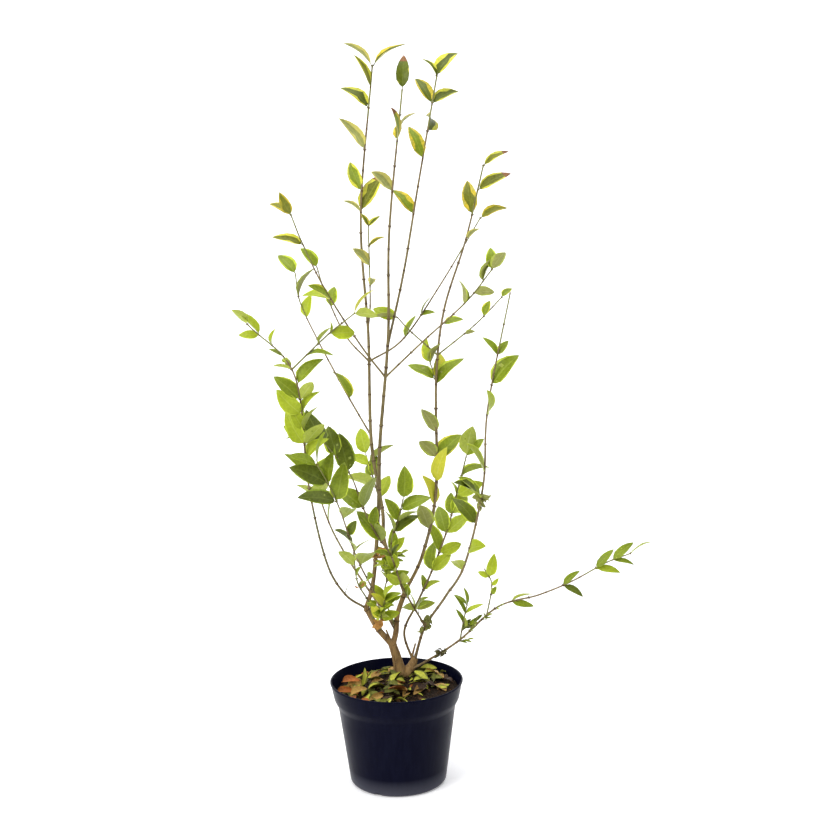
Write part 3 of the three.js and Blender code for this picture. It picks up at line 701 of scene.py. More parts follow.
# How leaves differ: in breadth, in how far they sweep sideways and in how much their edges wave, both as parts
# of the length. The last is half a leaf's thickness, in mm
BREADTH = (0.9, 0.2)
SWEEP = 0.24
EDGE_WAVE = 0.02
HALF_THICK = 0.2


def leaf_template():
    """One leaf as a flattened tube: x runs across from -1 to 1, y from stalk to tip, z is its side."""
    bm = bmesh.new()
    add_tube(bm, 8, LAST_ROW - 1)
    offset = min(abs(math.atan2(v.co.y, v.co.x)) for v in bm.verts)
    for vert in bm.verts:
        spoke = round((math.atan2(vert.co.y, vert.co.x) - offset) / (math.pi / 4)) % 8
        row = round((vert.co.z + 0.5) * LAST_ROW)
        side = 0 if spoke in (0, 4) else 1 if spoke < 4 else -1
        vert.co = (0, row, 0) if row == LAST_ROW else (LEAF_SPOKES[spoke], row, side)
    bmesh.ops.remove_doubles(bm, verts=bm.verts, dist=1e-4)
    bmesh.ops.recalc_face_normals(bm, faces=bm.faces)
    uv = bm.loops.layers.uv.new("blade")
    for face in bm.faces:
        face.smooth = True
        for loop in face.loops:
            loop[uv].uv = (0.5 + 0.5 * loop.vert.co.x, LEAF_ROWS[round(loop.vert.co.y)])
    for edge in bm.edges:
        edge.smooth = not all(abs(abs(v.co.x) - 1) < 1e-4 for v in edge.verts)
    return mesh_of(bm, "leaf_template")


def add_leaf(bm, template, leaf, draw, tones, width, fold, stalk, margin=(0.2, 0.2), droop=(0.1, 0.25), tint=None):
    """One leaf. tones are the slots of its blade and edge, above and below, stalk the thickness of its stalk,
    droop how far its tip curls down, and tint the slot of its tip."""
    before = counts(bm)
    bm.from_mesh(template)
    verts, faces = added(bm, before)
    length, axis, up = leaf["length"], leaf["axis"], leaf["up"]
    across = axis.cross(up).normalized()
    half = length * width * 0.5 * drawn(BREADTH, draw())
    lean = (draw() - 0.5) * SWEEP
    wave, phase = EDGE_WAVE * length * draw(), draw() * 6.3
    curl = drawn(droop, draw())
    edges = [[1 - drawn(margin, draw()) for _ in LEAF_ROWS] for _ in range(2)]
    blade, edge, under, under_edge = tones
    for face in faces:
        x = sum(v.co.x for v in face.verts) / len(face.verts)
        y = sum(v.co.y for v in face.verts) / len(face.verts)
        top = sum(v.co.z for v in face.verts) > 0
        inner = abs(x) < 0.45 or y < 1.6
        face.material_index = (blade if inner else edge) if top else (under if inner else under_edge)
        if tint is not None and y > LAST_ROW - 1.9 and top:
            face.material_index = tint
    for vert in verts:
        u, row, side = vert.co.x, round(vert.co.y), vert.co.z
        v = LEAF_ROWS[row]
        if abs(abs(u) - 0.5) < 1e-3 and 1 < row < LAST_ROW:
            u = math.copysign(edges[u > 0][row], u)
        broad = half * LEAF_OUTLINE[row]
        if row < 2:
            sweep, depth = stalk * u * (1.4 if abs(u) < 1 else 1), stalk * side * (1 - abs(u) * 0.4)
        else:
            sweep, depth = broad * u, side * HALF_THICK * (1 - 0.4 * abs(u))
        lift = -leaf["arch"] * length * v**2 - curl * length * max(0, v - 0.4) ** 2
        lift += math.tan(fold) * abs(u) * broad + wave * abs(u) * math.sin(v * 9 + phase)
        slip = lean * length * (v - v * v)
        vert.co = leaf["base"] + axis * (length * v) + across * (sweep + slip) + up * (lift + depth)


def add_bud(bm, base, axis, size, slot_index):
    """A small pointed bud pressed against its shoot."""
    before = counts(bm)
    bmesh.ops.create_icosphere(bm, subdivisions=1, radius=1)
    verts, faces = added(bm, before)
    turn = axis.to_track_quat("Z", "Y").to_matrix()
    for vert in verts:
        taper = 1 - 0.45 * max(0, vert.co.z)
        thick = 0.42 * size * taper
        vert.co = base + turn @ Vector((vert.co.x * thick, vert.co.y * thick, vert.co.z * size))
    for face in faces:
        face.smooth = True
        face.material_index = slot_index


BLADE_TONES = {
    # slot: base, patches, rib
    "leaf_blade_olive": ("#5d6212", "#7c7e22", "#9a9c4a"),
    "leaf_blade_dark": ("#46510a", "#5c6714", "#808c40"),
    "leaf_blade_mid": ("#82931e", "#697814", "#a3b04c"),
    "leaf_blade_lime": ("#a7b628", "#8f9e20", "#bec85a"),
    "leaf_blade_deep": ("#5f6b18", "#48540e", "#838f3e"),
    "leaf_edge_gold": ("#e6c93c", "#98922a", "#e4d478"),
    "leaf_edge_lemon": ("#dad548", "#a4a834", "#dedf80"),
    "leaf_edge_lime": ("#bfce3c", "#a4b432", "#ccd470"),
    "leaf_edge_green": ("#90a42c", "#7a8d24", "#aeba5c"),
    "leaf_underside_olive": ("#939650", "#7f8242", "#b2b47c"),
    "leaf_underside_green": ("#929d4a", "#7d8a3a", "#b0b878"),
    "leaf_underside_lime": ("#a9b34a", "#929f3c", "#c2ca80"),
    "leaf_underside_edge": ("#c6bc5e", "#aca650", "#d0c98c"),
    "leaf_yellowing": ("#ccc93c", "#b2b634", "#d8d87c"),
    "leaf_rusty": ("#8d5f30", "#6b4526", "#a57c4c"),
}
LEAF_SLOTS = list(BLADE_TONES)

# A group's blades and edges, each with the draw below which it is taken, the undersides of both, and how wide
# its edges are, its leaves' width and how far their tips curl down
LEAF_GROUPS = {
    "gold": dict(
        blades=[(0.45, "olive"), (0.8, "dark"), (1, "mid")], edges=[(0.6, "gold"), (1, "lemon")],
        unders=("olive", "edge"), margin=(0.2, 0.5), width=0.9, droop=(0.25, 0.5),
    ),
    "edged": dict(
        blades=[(0.65, "mid"), (1, "lime")], edges=[(0.4, "lemon"), (1, "lime")],
        unders=("olive", "lime"), margin=(0.08, 0.34), width=1.14, droop=(0.08, 0.25),
    ),
    "deep": dict(
        blades=[(0.55, "deep"), (1, "mid")], edges=[(0.5, "lime"), (1, "green")],
        unders=("green", "lime"), margin=(0.05, 0.18), width=1.14, droop=(0.08, 0.25),
    ),
    "plain": dict(
        blades=[(0.5, "mid"), (0.8, "lime"), (1, "deep")], edges=[(1, "green")],
        unders=("lime", "lime"), margin=(0.04, 0.16), width=0.72, droop=(0.1, 0.3),
    ),
    "light": dict(
        blades=[(0.55, "mid"), (1, "lime")], edges=[(1, "lime")],
        unders=("lime", "lime"), margin=(0.06, 0.22), width=1.06, droop=(0.1, 0.3),
    ),
    "other": dict(
        blades=[(0.5, "mid"), (0.75, "lime"), (1, "deep")], edges=[(1, "lime")],
        unders=("lime", "lime"), margin=(0.06, 0.22), width=1.14, droop=(0.08, 0.25),
    ),
}
# Leaves above the first height are gold-edged and those below the second light, whichever shoot they are on
GOLD_ABOVE = 755
LIGHT_BELOW = 320


def group_of(shoot, leaf):
    """A leaf's group of colours: by its height at the top, and by its shoot below."""
    name = shoot["name"].split("_sprig_")[0]
    if name in GOLD_SHOOTS or leaf["base"].z > GOLD_ABOVE:
        return "gold"
    if name in EDGED_SHOOTS:
        return "edged"
    if name in PLAIN_SHOOTS:
        return "plain"
    if name in LIGHT_SHOOTS or "_sprig_fine_" in shoot["name"] or leaf["base"].z < LIGHT_BELOW:
        return "light"
    return "deep" if name in DEEP_SHOOTS else "other"


def tones_for(shoot, group, draw):
    """Slots of blade and edge, above and below, for one leaf of a group."""
    pick, second = draw(), draw()
    if second > 1 - YELLOWING.get(shoot["name"], USUAL_YELLOWING):
        return (LEAF_SLOTS.index("leaf_yellowing"),) * 4
    blade = next(name for level, name in group["blades"] if pick <= level)
    edge = next(name for level, name in group["edges"] if second <= level)
    under, under_edge = group["unders"]
    names = (f"blade_{blade}", f"edge_{edge}", f"underside_{under}", f"underside_{under_edge}")
    return tuple(LEAF_SLOTS.index(f"leaf_{name}") for name in names)


# Finer twigs: how likely each leafy node carries one, by shoot
FINE_TWIGS = {
    "inner_front": 0.35, "inner_centre": 0.7, "inner_low": 0.7, "left_low": 0.5, "low_right": 0.8,
    "low_twig_near": 0.5, "low_twig_far": 0.3, "back_right": 0.45, "left_outer": 0.2, "mid_spray": 0.25,
}
# The shoot whose lower bare nodes carry them, and how far along it
TWIGGY_SHOOT, TWIGGY_REACH = "low_right", 0.5
# How long they are, how long their leaves are, and how far they bow
FINE_LENGTH = (13, 9)
FINE_LEAF = (13, 7)
FINE_BOW = 1.5


def fine_twigs():
    """Short thin twigs with small leaves in the axils of the leafy nodes, inside each shoot's own reach."""
    twigs = []
    for shoot in LEAFY:
        draw = seeded_random(seed_of(shoot["name"] + " fine"))
        for word, s in nodes_of(shoot)[:-1]:
            carries = s < TWIGGY_REACH if shoot["name"] == TWIGGY_SHOOT else word != "."
            if draw() > FINE_TWIGS.get(shoot["name"], 0.0) or not carries:
                continue
            tangent, foot = shoot["path"].tangent(s), shoot["path"].point(s)
            way = aim(draw, "LRFB"[int(draw() * 4)], tangent)
            tip = foot + way["axis"] * drawn(FINE_LENGTH, draw())
            middle = foot.lerp(tip, 0.5) + tangent * FINE_BOW
            leaves = "LR FB A" if draw() < 0.5 else "FB LA"
            size = drawn(FINE_LEAF, draw()) * (SMALL_LEAF if word == "." else 1)
            name = f"{shoot['name']}_sprig_fine_{round(s * 1000)}"
            twig = new_limb(name, foot, [middle], tip, (0.75, 0.5), 0, leaves, size)
            twig["blades"], _ = growth(twig, seeded_random(seed_of(twig["name"])))
            twigs.append(twig)
    return twigs


# Properties: the sizes and colours that can be changed


def size_property(name, description, default, low, high):
    return bpy.props.FloatProperty(
        name=name, description=description, default=default, min=low, max=high, unit="LENGTH"
    )


def count_property(name, description, default, low, high):
    return bpy.props.IntProperty(name=name, description=description, default=default, min=low, max=high)


def colour_property(name, description, code):
    return bpy.props.FloatVectorProperty(
        name=name, description=description, subtype="COLOR", size=4, min=0, max=1, default=linear(code)
    )


class PRIVET_PG_pot(bpy.types.PropertyGroup):
    """The nursery pot."""

    height: size_property("Height", "Height of the pot", POT_HEIGHT * MM, 0.05, 0.5)
    rim_radius: size_property("Rim radius", "Outer radius of the pot's rim", RIM_RADIUS * MM, 0.03, 0.3)
    segments: count_property("Segments", "Steps round the turned pot", 144, 36, 288)


class PRIVET_PG_compost(bpy.types.PropertyGroup):
    """The compost and what has fallen on it."""

    crumbs: count_property("Crumbs", "Loose crumbs on the surface", 900, 0, 4000)
    chips: count_property("Bark chips", "Chips of bark in the compost", 130, 0, 800)
    fallen: count_property("Fallen leaves", "Dry leaves on the compost", 190, 0, 400)


class PRIVET_PG_limbs(bpy.types.PropertyGroup):
    """Trunk, boughs and twigs."""

    relief: bpy.props.FloatProperty(
        name="Bark relief", description="Depth of the bark's relief as a part of the limb's radius",
        default=0.09, min=0, max=0.3, subtype="FACTOR",
    )
    ring: size_property("Ring spacing", "Distance between the rings of a limb's mesh", 0.0016, 0.0005, 0.01)


class PRIVET_PG_leaves(bpy.types.PropertyGroup):
    """The leaves."""

    width: bpy.props.FloatProperty(
        name="Width", description="Width of a leaf as a part of its length", default=LEAF_WIDTH, min=0.2, max=0.8,
        subtype="FACTOR",
    )
    fold: bpy.props.FloatProperty(
        name="Fold", description="How far each half of a leaf is folded up from flat", default=0.34, min=0, max=0.8,
        subtype="ANGLE", unit="ROTATION",
    )


class PRIVET_PG_stage(bpy.types.PropertyGroup):
    """Floor, light and camera."""

    distance: size_property("Camera distance", "How far the camera stands in front of the pot", 2.0, 0.5, 10)
    lens: bpy.props.FloatProperty(
        name="Lens", description="Focal length of the camera in millimetres", default=63.5, min=20, max=200
    )
    floor: colour_property("Floor", "Colour of the floor", "#f4f4f6")


# Pieces


def pot_profile(height, rim):
    """The pot's outline from the middle of its base, up outside, over the lip and down inside."""
    band_foot = height - BAND_HEIGHT

    def corner(radius, base, bend):
        angles = [(t / 4 - 1) * math.pi / 2 for t in range(5)]
        return [(radius - bend + bend * math.cos(a), base + bend + bend * math.sin(a)) for a in angles]

    outside = [(0, 0), *corner(BASE_RADIUS, 0, BASE_CORNER)]
    neck = band_foot - SHOULDER
    for k in range(1, 6):
        part = k / 6
        outside.append((BASE_RADIUS + (NECK_RADIUS - BASE_RADIUS) * part, BASE_CORNER + (neck - BASE_CORNER) * part))
    for k in range(SHOULDER_STEPS + 1):
        part = k / SHOULDER_STEPS
        eased = 0.75 * part + 0.25 * smooth(0, 1, part)
        radius = NECK_RADIUS + (BAND_FOOT_RADIUS - NECK_RADIUS) * eased
        outside.append((radius, neck + (SHOULDER + SHOULDER_EASE) * part))
    outside += [
        (BAND_FOOT_RADIUS + BAND_FLARE, height - BAND_HEIGHT / 2), (rim - LIP, height - 2 * LIP),
        (rim, height - 1.6 * LIP), (rim, height - 0.7 * LIP), (rim - 0.3 * LIP, height - 0.2 * LIP),
        (rim - 0.8 * LIP, height),
    ]
    inside = [
        (rim - WALL - 0.3 * LIP, height), (rim - WALL - LIP, height - LIP),
        (BAND_FOOT_RADIUS - WALL, band_foot), (NECK_RADIUS - WALL, band_foot - SHOULDER),
        *reversed(corner(BASE_RADIUS - WALL, FLOOR, BASE_CORNER - WALL)), (0, FLOOR),
    ]
    return outside + inside


def turned(bm, profile, steps):
    """Spins a profile of (radius, height) pairs round the upright axis."""
    verts = [bm.verts.new((r, 0, z)) for r, z in profile]
    edges = [bm.edges.new(pair) for pair in zip(verts, verts[1:])]
    bmesh.ops.spin(
        bm, geom=verts + edges, cent=(0, 0, 0), axis=(0, 0, 1), angle=2 * math.pi, steps=steps, use_merge=True
    )
    bmesh.ops.remove_doubles(bm, verts=bm.verts, dist=1e-4)
    bmesh.ops.recalc_face_normals(bm, faces=bm.faces)
    for face in bm.faces:
        face.smooth = True


def pot_cutters():
    """Drain holes through the floor and arched notches in the foot."""
    bm = bmesh.new()

    def add_cutter(radius, depth, segments, matrix):
        bmesh.ops.create_cone(
            bm, cap_ends=True, segments=segments, radius1=radius, radius2=radius, depth=depth, matrix=matrix
        )

    for k in range(DRAIN_HOLES):
        heading = k * 2 * math.pi / DRAIN_HOLES
        place = Matrix.Translation((DRAIN_CIRCLE * math.cos(heading), DRAIN_CIRCLE * math.sin(heading), 0))
        add_cutter(DRAIN_HOLE_RADIUS, 4 * FLOOR, 24, place)
    for k in range(NOTCHES):
        turn = Matrix.Rotation(math.radians(NOTCH_HEADING + 360 * k / NOTCHES), 4, "Z")
        lie = Matrix.Translation((BASE_RADIUS + BASE_CORNER, 0, 0)) @ Matrix.Rotation(math.pi / 2, 4, "Y")
        squash = Matrix.Diagonal((NOTCH_HEIGHT / (NOTCH_WIDTH / 2), 1, 1, 1))
        add_cutter(NOTCH_WIDTH / 2, 4 * BASE_CORNER, 28, turn @ lie @ squash)
    bmesh.ops.scale(bm, vec=(MM, MM, MM), verts=bm.verts)
    return new_object("pot_cutters", mesh_of(bm, "pot_cutters"))


def apply_boolean(piece, cutter):
    """Cuts the cutter out of the piece for good, and removes it."""
    cut = piece.modifiers.new("holes", "BOOLEAN")
    cut.operation, cut.solver, cut.object = "DIFFERENCE", "EXACT", cutter
    graph = bpy.context.evaluated_depsgraph_get()
    mesh = bpy.data.meshes.new_from_object(piece.evaluated_get(graph), depsgraph=graph)
    piece.modifiers.clear()
    old, piece.data = piece.data, mesh
    mesh.name = piece.name
    bpy.data.meshes.remove(old)
    bpy.data.objects.remove(cutter)


class PRIVET_OT_pot(bpy.types.Operator):
    """Turn the nursery pot and cut its drain holes and notches"""

    bl_idname = "privet.pot"
    bl_label = "Pot"

    def execute(self, context):
        sizes = context.scene.privet_pot
        bm = bmesh.new()
        turned(bm, pot_profile(sizes.height / MM, sizes.rim_radius / MM), sizes.segments)
        piece = finish_piece(bm, "nursery_pot", [pot_plastic()], ["pot"])
        apply_boolean(piece, pot_cutters())
        for polygon in piece.data.polygons:
            polygon.use_smooth = True
        piece.data.set_sharp_from_angle(angle=math.radians(55))
        return {"FINISHED"}


def soil_height(x, y):
    """The compost's surface: a low mound under the trunk, higher to the right, with lumps."""
    away = math.hypot(x - TRUNK["foot"][0], y - TRUNK["foot"][1])
    mound = (SOIL_LEVEL - SOIL_EDGE_LEVEL) * math.exp(-((away / MOUND_RADIUS) ** 2))
    lumps = sum(height * noise.noise(Vector((x / apart, y / apart, z))) for height, apart, z in LUMPS)
    landing = smooth(*LANDING, away) * LANDING_RISE
    return SOIL_EDGE_LEVEL - SOIL_SINK + mound + x * SOIL_SLOPE + lumps + landing


class PRIVET_OT_compost(bpy.types.Operator):
    """Fill the pot with moist compost, with crumbs and chips of bark on it"""

    bl_idname = "privet.compost"
    bl_label = "Compost"

    def execute(self, context):
        sizes = context.scene.privet_compost
        bm = bmesh.new()
        wall = RIM_RADIUS - WALL - BED_GAP
        rings = [(wall * k / BED_RINGS, SOIL_EDGE_LEVEL) for k in range(BED_RINGS, -1, -1)]
        side = [
            (0, BED_FLOOR), (BASE_RADIUS - 6, BED_FLOOR), (NECK_RADIUS - WALL - 2, 108),
            (wall - 3, SOIL_EDGE_LEVEL - 9),
        ]
        turned(bm, [*side, *rings], 150)
        for vert in bm.verts:
            if vert.co.z > SOIL_EDGE_LEVEL - 1:
                vert.co.z = soil_height(vert.co.x, vert.co.y)
        peat = soil_material("compost_moist_peat", "#120d09", "#3a2a1d", 2.4)
        finish_piece(bm, "compost_bed", [peat], ["compost"])
        draw = seeded_random(seed_of("crumbs"))
        bm = bmesh.new()
        for k in range(sizes.crumbs + sizes.chips):
            chip = k >= sizes.crumbs
            heading, away = draw() * 2 * math.pi, (wall - 4) * math.sqrt(draw())
            x, y = away * math.cos(heading), away * math.sin(heading)
            size = drawn(CHIP_SIZE, draw()) if chip else drawn(CRUMB_SIZE, draw() ** 2)
            squash = (1, 0.55, 0.35) if chip else (1, 0.8, 0.7)
            turn = Matrix.Rotation(draw() * 6.3, 4, "Z") @ Matrix.Rotation((draw() - 0.5) * 1.2, 4, "X")
            shape = Matrix.Diagonal((*[size * q for q in squash], 1))
            place = Matrix.Translation((x, y, soil_height(x, y) + size * 0.2)) @ turn @ shape
            before = counts(bm)
            if chip:
                made = bmesh.ops.create_cube(bm, size=1.7, matrix=place)
                edges = list(dict.fromkeys(e for v in made["verts"] for e in v.link_edges))
                bmesh.ops.bevel(
                    bm, geom=edges, offset=0.175 * size, affect="EDGES", segments=1, profile=0.5, material=-1
                )
            else:
                bmesh.ops.create_icosphere(bm, subdivisions=1, radius=1, matrix=place)
            tone = draw()
            for face in added(bm, before)[1]:
                face.smooth = not chip
                face.material_index = 2 if chip and tone < 0.6 else 1 if tone < 0.35 else 0
        slots = [
            soil_material("compost_crumb_dark", "#17100b", "#3b2a1d", 1.6),
            soil_material("compost_crumb_brown", "#2b1d13", "#5a412c", 1.6),
            soil_material("pine_bark_chip", "#3b2818", "#7a5838", 2.2),
        ]
        finish_piece(bm, "compost_crumbs", slots)
        return {"FINISHED"}


LITTER_TONES = {
    "fallen_leaf_yellow": ("#c6c648", "#969a30", "#dcd884"),
    "fallen_leaf_olive": ("#7a7c30", "#474c1c", "#9f9c58"),
    "fallen_leaf_tan": ("#b8934c", "#7a5a2c", "#d4ba80"),
    "fallen_leaf_orange": ("#b86c30", "#6e3f1c", "#d49c60"),
    "fallen_leaf_brown": ("#463120", "#281b12", "#6c543a"),
    "fallen_leaf_fresh": ("#8c8a2c", "#74731f", "#b4b060"),
}
# The largest fallen leaves: how far above the compost their feet lie and how wide they are for their length,
# and where each one's foot is, the way it lies, its upper side, length, fold and slot
LAID_RISE = 8
LAID_WIDTH = 0.38
LAID_LEAVES = [
    ((-15, 8), (1, 0.15, 0.02), (0, -0.6, 1), 29, 0.15, 5),
    ((-86, -12), (1, -0.2, 0.1), (0.1, -0.6, 0.6), 27, 0.9, 3),
    ((-80, 22), (0.8, -0.4, 0.3), (0.2, -0.6, 0.7), 29, 0.8, 3),
    ((-66, -34), (0.9, 0.5, 0.3), (-0.3, -0.6, 0.8), 30, 0.7, 2),
    ((-50, -4), (0.3, 0.1, 1), (0.6, -1, 0.1), 27, 0.5, 0), ((-38, -52), (1, 0.5, 0.2), (0.4, -0.7, 0.7), 24, 0.8, 2),
    ((34, 58), (1, -0.25, 0.1), (0, -0.8, 0.7), 25, 0.4, 0), ((24, 4), (0.8, 0.5, 0.05), (0, -0.5, 1), 22, 0.6, 0),
]


# The draws above which a fallen leaf is olive, tan, orange and brown, and how far to the right it is always
# brown in place of tan or orange
LITTER_LEVELS = (0.25, 0.54, 0.68, 0.84)
BROWN_FROM = 25
# How far from the middle fallen leaves lie, how far out their tips may reach, how far they stay from the
# trunk, how long they are, and how wide for their length
LITTER_RADIUS = 82
LITTER_REACH = 83
TRUNK_GAP = 13
LITTER_LENGTH = (11, 21)
LITTER_WIDTH = (0.16, 0.38)


def litter_slot(tone, x):
    if tone > LITTER_LEVELS[2] and x > BROWN_FROM:
        return 4
    return sum(tone > level for level in LITTER_LEVELS)


def add_fallen(bm, template, draw, leaf, slot, width, fold):
    """A fallen leaf: a yellow one has olive edges, and both have an olive underside."""
    tones = (slot, max(1, slot), max(1, slot), slot)
    add_leaf(bm, template, leaf, draw, tones, width, fold, stalk=0.4, margin=(0.1, 0.4))


class PRIVET_OT_litter(bpy.types.Operator):
    """Strew curled fallen leaves over the compost, thickest on the left"""

    bl_idname = "privet.litter"
    bl_label = "Fallen leaves"

    def execute(self, context):
        draw = seeded_random(seed_of("litter"))
        template = leaf_template()
        bm = bmesh.new()
        laid = 0
        trunk = Vector(TRUNK["foot"]).to_2d()
        while laid < context.scene.privet_compost.fallen:
            heading, away = draw() * 2 * math.pi, LITTER_RADIUS * math.sqrt(draw())
            foot = Vector((away * math.cos(heading), away * math.sin(heading)))
            length = drawn(LITTER_LENGTH, draw() ** 1.4)
            turn = heading + math.pi + (draw() - 0.5) * 4.4
            axis = Vector((math.cos(turn), math.sin(turn), 0.05 + 0.5 * draw() ** 2)).normalized()
            lean = Vector((draw() - 0.5, draw() - 0.5, 0.6))
            tone, bent, width = draw(), draw(), drawn(LITTER_WIDTH, draw())
            tip = foot + axis.to_2d() * length
            bare_corner = foot.x - foot.y > 58 and tone > 0.12
            by_trunk = min((place - trunk).length for place in (foot, foot.lerp(tip, 0.5), tip)) < TRUNK_GAP
            if tip.length > LITTER_REACH or bare_corner or by_trunk:
                continue
            rise = max(soil_height(*foot), soil_height(*tip)) + 0.6 + 0.5 * (laid % 9)
            up = square_to(axis, lean)
            leaf = dict(base=Vector((*foot, rise)), axis=axis, up=up, length=length, arch=-0.15 + 0.5 * bent)
            add_fallen(bm, template, draw, leaf, litter_slot(tone, foot.x), width, 0.05 + 0.8 * draw())
            laid += 1
        for (x, y), axis, up, length, fold, slot in LAID_LEAVES:
            axis = Vector(axis).normalized()
            base, up = Vector((x, y, soil_height(x, y) + LAID_RISE)), square_to(axis, Vector(up))
            leaf = dict(base=base, axis=axis, up=up, length=length, arch=0.15)
            add_fallen(bm, template, draw, leaf, slot, LAID_WIDTH, fold)
        bpy.data.meshes.remove(template)
        slots = [leaf_material(name, *tones, roughness=0.6, patchiness=0.8) for name, tones in LITTER_TONES.items()]
        finish_piece(bm, "fallen_leaves", slots)
        return {"FINISHED"}


SPUR_RELIEF = 0.16
BUD_SIZE = 1.5
FINE_BUD_SIZE = 0.9


def add_buds(bm, shoot, s, index, size, slot):
    """A pair of opposite buds at a node, each pair crossed with the one below."""
    path = shoot["path"]
    tangent, centre = path.tangent(s), path.point(s)
    side = square_to(tangent, side_axis(path))
    if index % 2:
        side = side.cross(tangent)
    for out in (side, -side):
        lean = (tangent * 0.8 + out * 0.6).normalized()
        add_bud(bm, centre + out * radius_at(shoot, s) * 1.05 + lean * size * 0.45, lean, size, slot)


class PRIVET_OT_limbs(bpy.types.Operator):
    """Grow the trunk, the root crown and the boughs with the relief of their bark"""

    bl_idname = "privet.limbs"
    bl_label = "Trunk and boughs"

    def execute(self, context):
        sizes = context.scene.privet_limbs
        ring = sizes.ring / MM
        bm = bmesh.new()
        for name, flare in (("trunk", FLARE), ("crown", 0)):
            limb = GROWN[name]
            add_rod(bm, limb["path"], bark_radius(limb, sizes.relief, flare=flare), 30, ring)
        for k, spur in enumerate(DEAD_SPURS):
            limb = new_limb(f"spur_{k}", **spur)
            add_rod(bm, limb["path"], bark_radius(limb, SPUR_RELIEF), 12, ring)
        for shoot in GROWN.values():
            bare = shoot["bare"]
            if not shoot["own_foot"] or bare <= 0:
                continue
            marks = knuckles_of(shoot)
            radius = bark_radius(shoot, sizes.relief, marks)
            sides = 14 if shoot["thick"][0] > 2.5 else 10
            tone = near_node(shoot, 2 if shoot["name"] in THIN_BOUGHS else 0, 1)
            add_rod(bm, shoot["path"], radius, sides, ring, end=bare, material=tone)
            length = shoot["path"].length
            for index, mark in enumerate(mark for mark in marks if mark < bare * length - 1):
                add_buds(bm, shoot, mark / length, index, BUD_SIZE, 1)
        slots = [
            bark_material("privet_bark_brown", "#94764a", "#5c4529", 1.7, higher=("#7e714c", "#54482c")),
            bark_material("privet_node_dark", "#5f4c37", "#3f3123", 1.2, lenticels=0.1),
            bark_material("privet_bark_grey_green", "#85714f", "#56452f", 1.3, higher=("#747350", "#4f4f36")),
        ]
        finish_piece(bm, "trunk_and_boughs", slots, LIMB_NODES)
        return {"FINISHED"}


# Bare threads left from last year: the shoot each grows on, how far along it, and the points it runs through
TENDRILS = [
    ("left_outer", 0.0925, (-65, 7, 290), (-57, 4, 304)), ("inner_front", 0.07, (34, 14, 250), (37, 4, 268)),
    ("low_right", 0.245, (96, 19, 216), (104, 14, 222), (113, 12, 219)),
    ("low_right", 0.2825, (112, 9, 227), (121, 3, 245)), ("low_right", 0.37, (136, 3, 234), (149, -2, 237)),
]


class PRIVET_OT_twigs(bpy.types.Operator):
    """Grow the leafy shoots' stems, their finer twigs, and the buds at their nodes"""

    bl_idname = "privet.twigs"
    bl_label = "Twigs"

    def execute(self, context):
        relief = context.scene.privet_limbs.relief * 0.6
        bm = bmesh.new()
        for shoot in [*LEAFY, *fine_twigs()]:
            path = shoot["path"]
            fine = "_sprig_" in shoot["name"]
            young = 0 if path.length < 140 else 1 - 70 / path.length
            tone = near_node(shoot, 0, 3, lambda s, young=young: 1 if s > young else 0)
            radius = bark_radius(shoot, relief, knuckles_of(shoot))
            add_rod(bm, path, radius, 6 if fine else 8, 3.0 if fine else 2.2, start=shoot["bare"], material=tone)
            draw = seeded_random(seed_of(shoot["name"] + " buds"))
            for index, (_, s) in enumerate(nodes_of(shoot)):
                add_buds(bm, shoot, s, index, (FINE_BUD_SIZE if fine else BUD_SIZE) * (0.8 + 0.5 * draw()), 2)
            if shoot["leaves"][-1] != ".":
                add_bud(bm, path.point(1) + path.tangent(1) * 1.2, path.tangent(1), 1.1 if fine else 2.0, 2)
        for k, (name, s, *bends, tip) in enumerate(TENDRILS):
            thread = new_limb(f"tendril_{k}", GROWN[name]["path"].point(s), bends, tip, (0.6, 0.35))
            add_rod(bm, thread["path"], bark_radius(thread, relief), 5, 3.0, material=lambda s: 1)
        slots = [
            bark_material("privet_twig_brown", "#81714f", "#594a34", 1.1),
            bark_material("privet_twig_olive", "#7f8048", "#5f5936", 0.9, lenticels=0.15),
            bark_material("privet_bud_scale", "#6a5036", "#433122", 0.6, lenticels=0.0),
            bark_material("privet_twig_node", "#5f4c35", "#403323", 0.8, lenticels=0.1),
        ]
        finish_piece(bm, "leafy_twigs", slots, MASS_NODES)
        return {"FINISHED"}


# The share of the leaves whose face is turned to the front, of the gold ones whose tips are rusty, and the
# one dark, rusty-tipped leaf at the top of the middle shoot
FACING = 0.5
RUSTY = 0.35
DARK_LEAF = ("tall_centre", 3)


def facing_front(leaf, full):
    """A leaf's up turned to the other side of its own rib, or fully to the front, so that its face is seen."""
    up = Vector((0.2, -1, 0.5)) if full else Vector((leaf["up"].x, -leaf["up"].y, leaf["up"].z))
    return square_to(leaf["axis"], up)


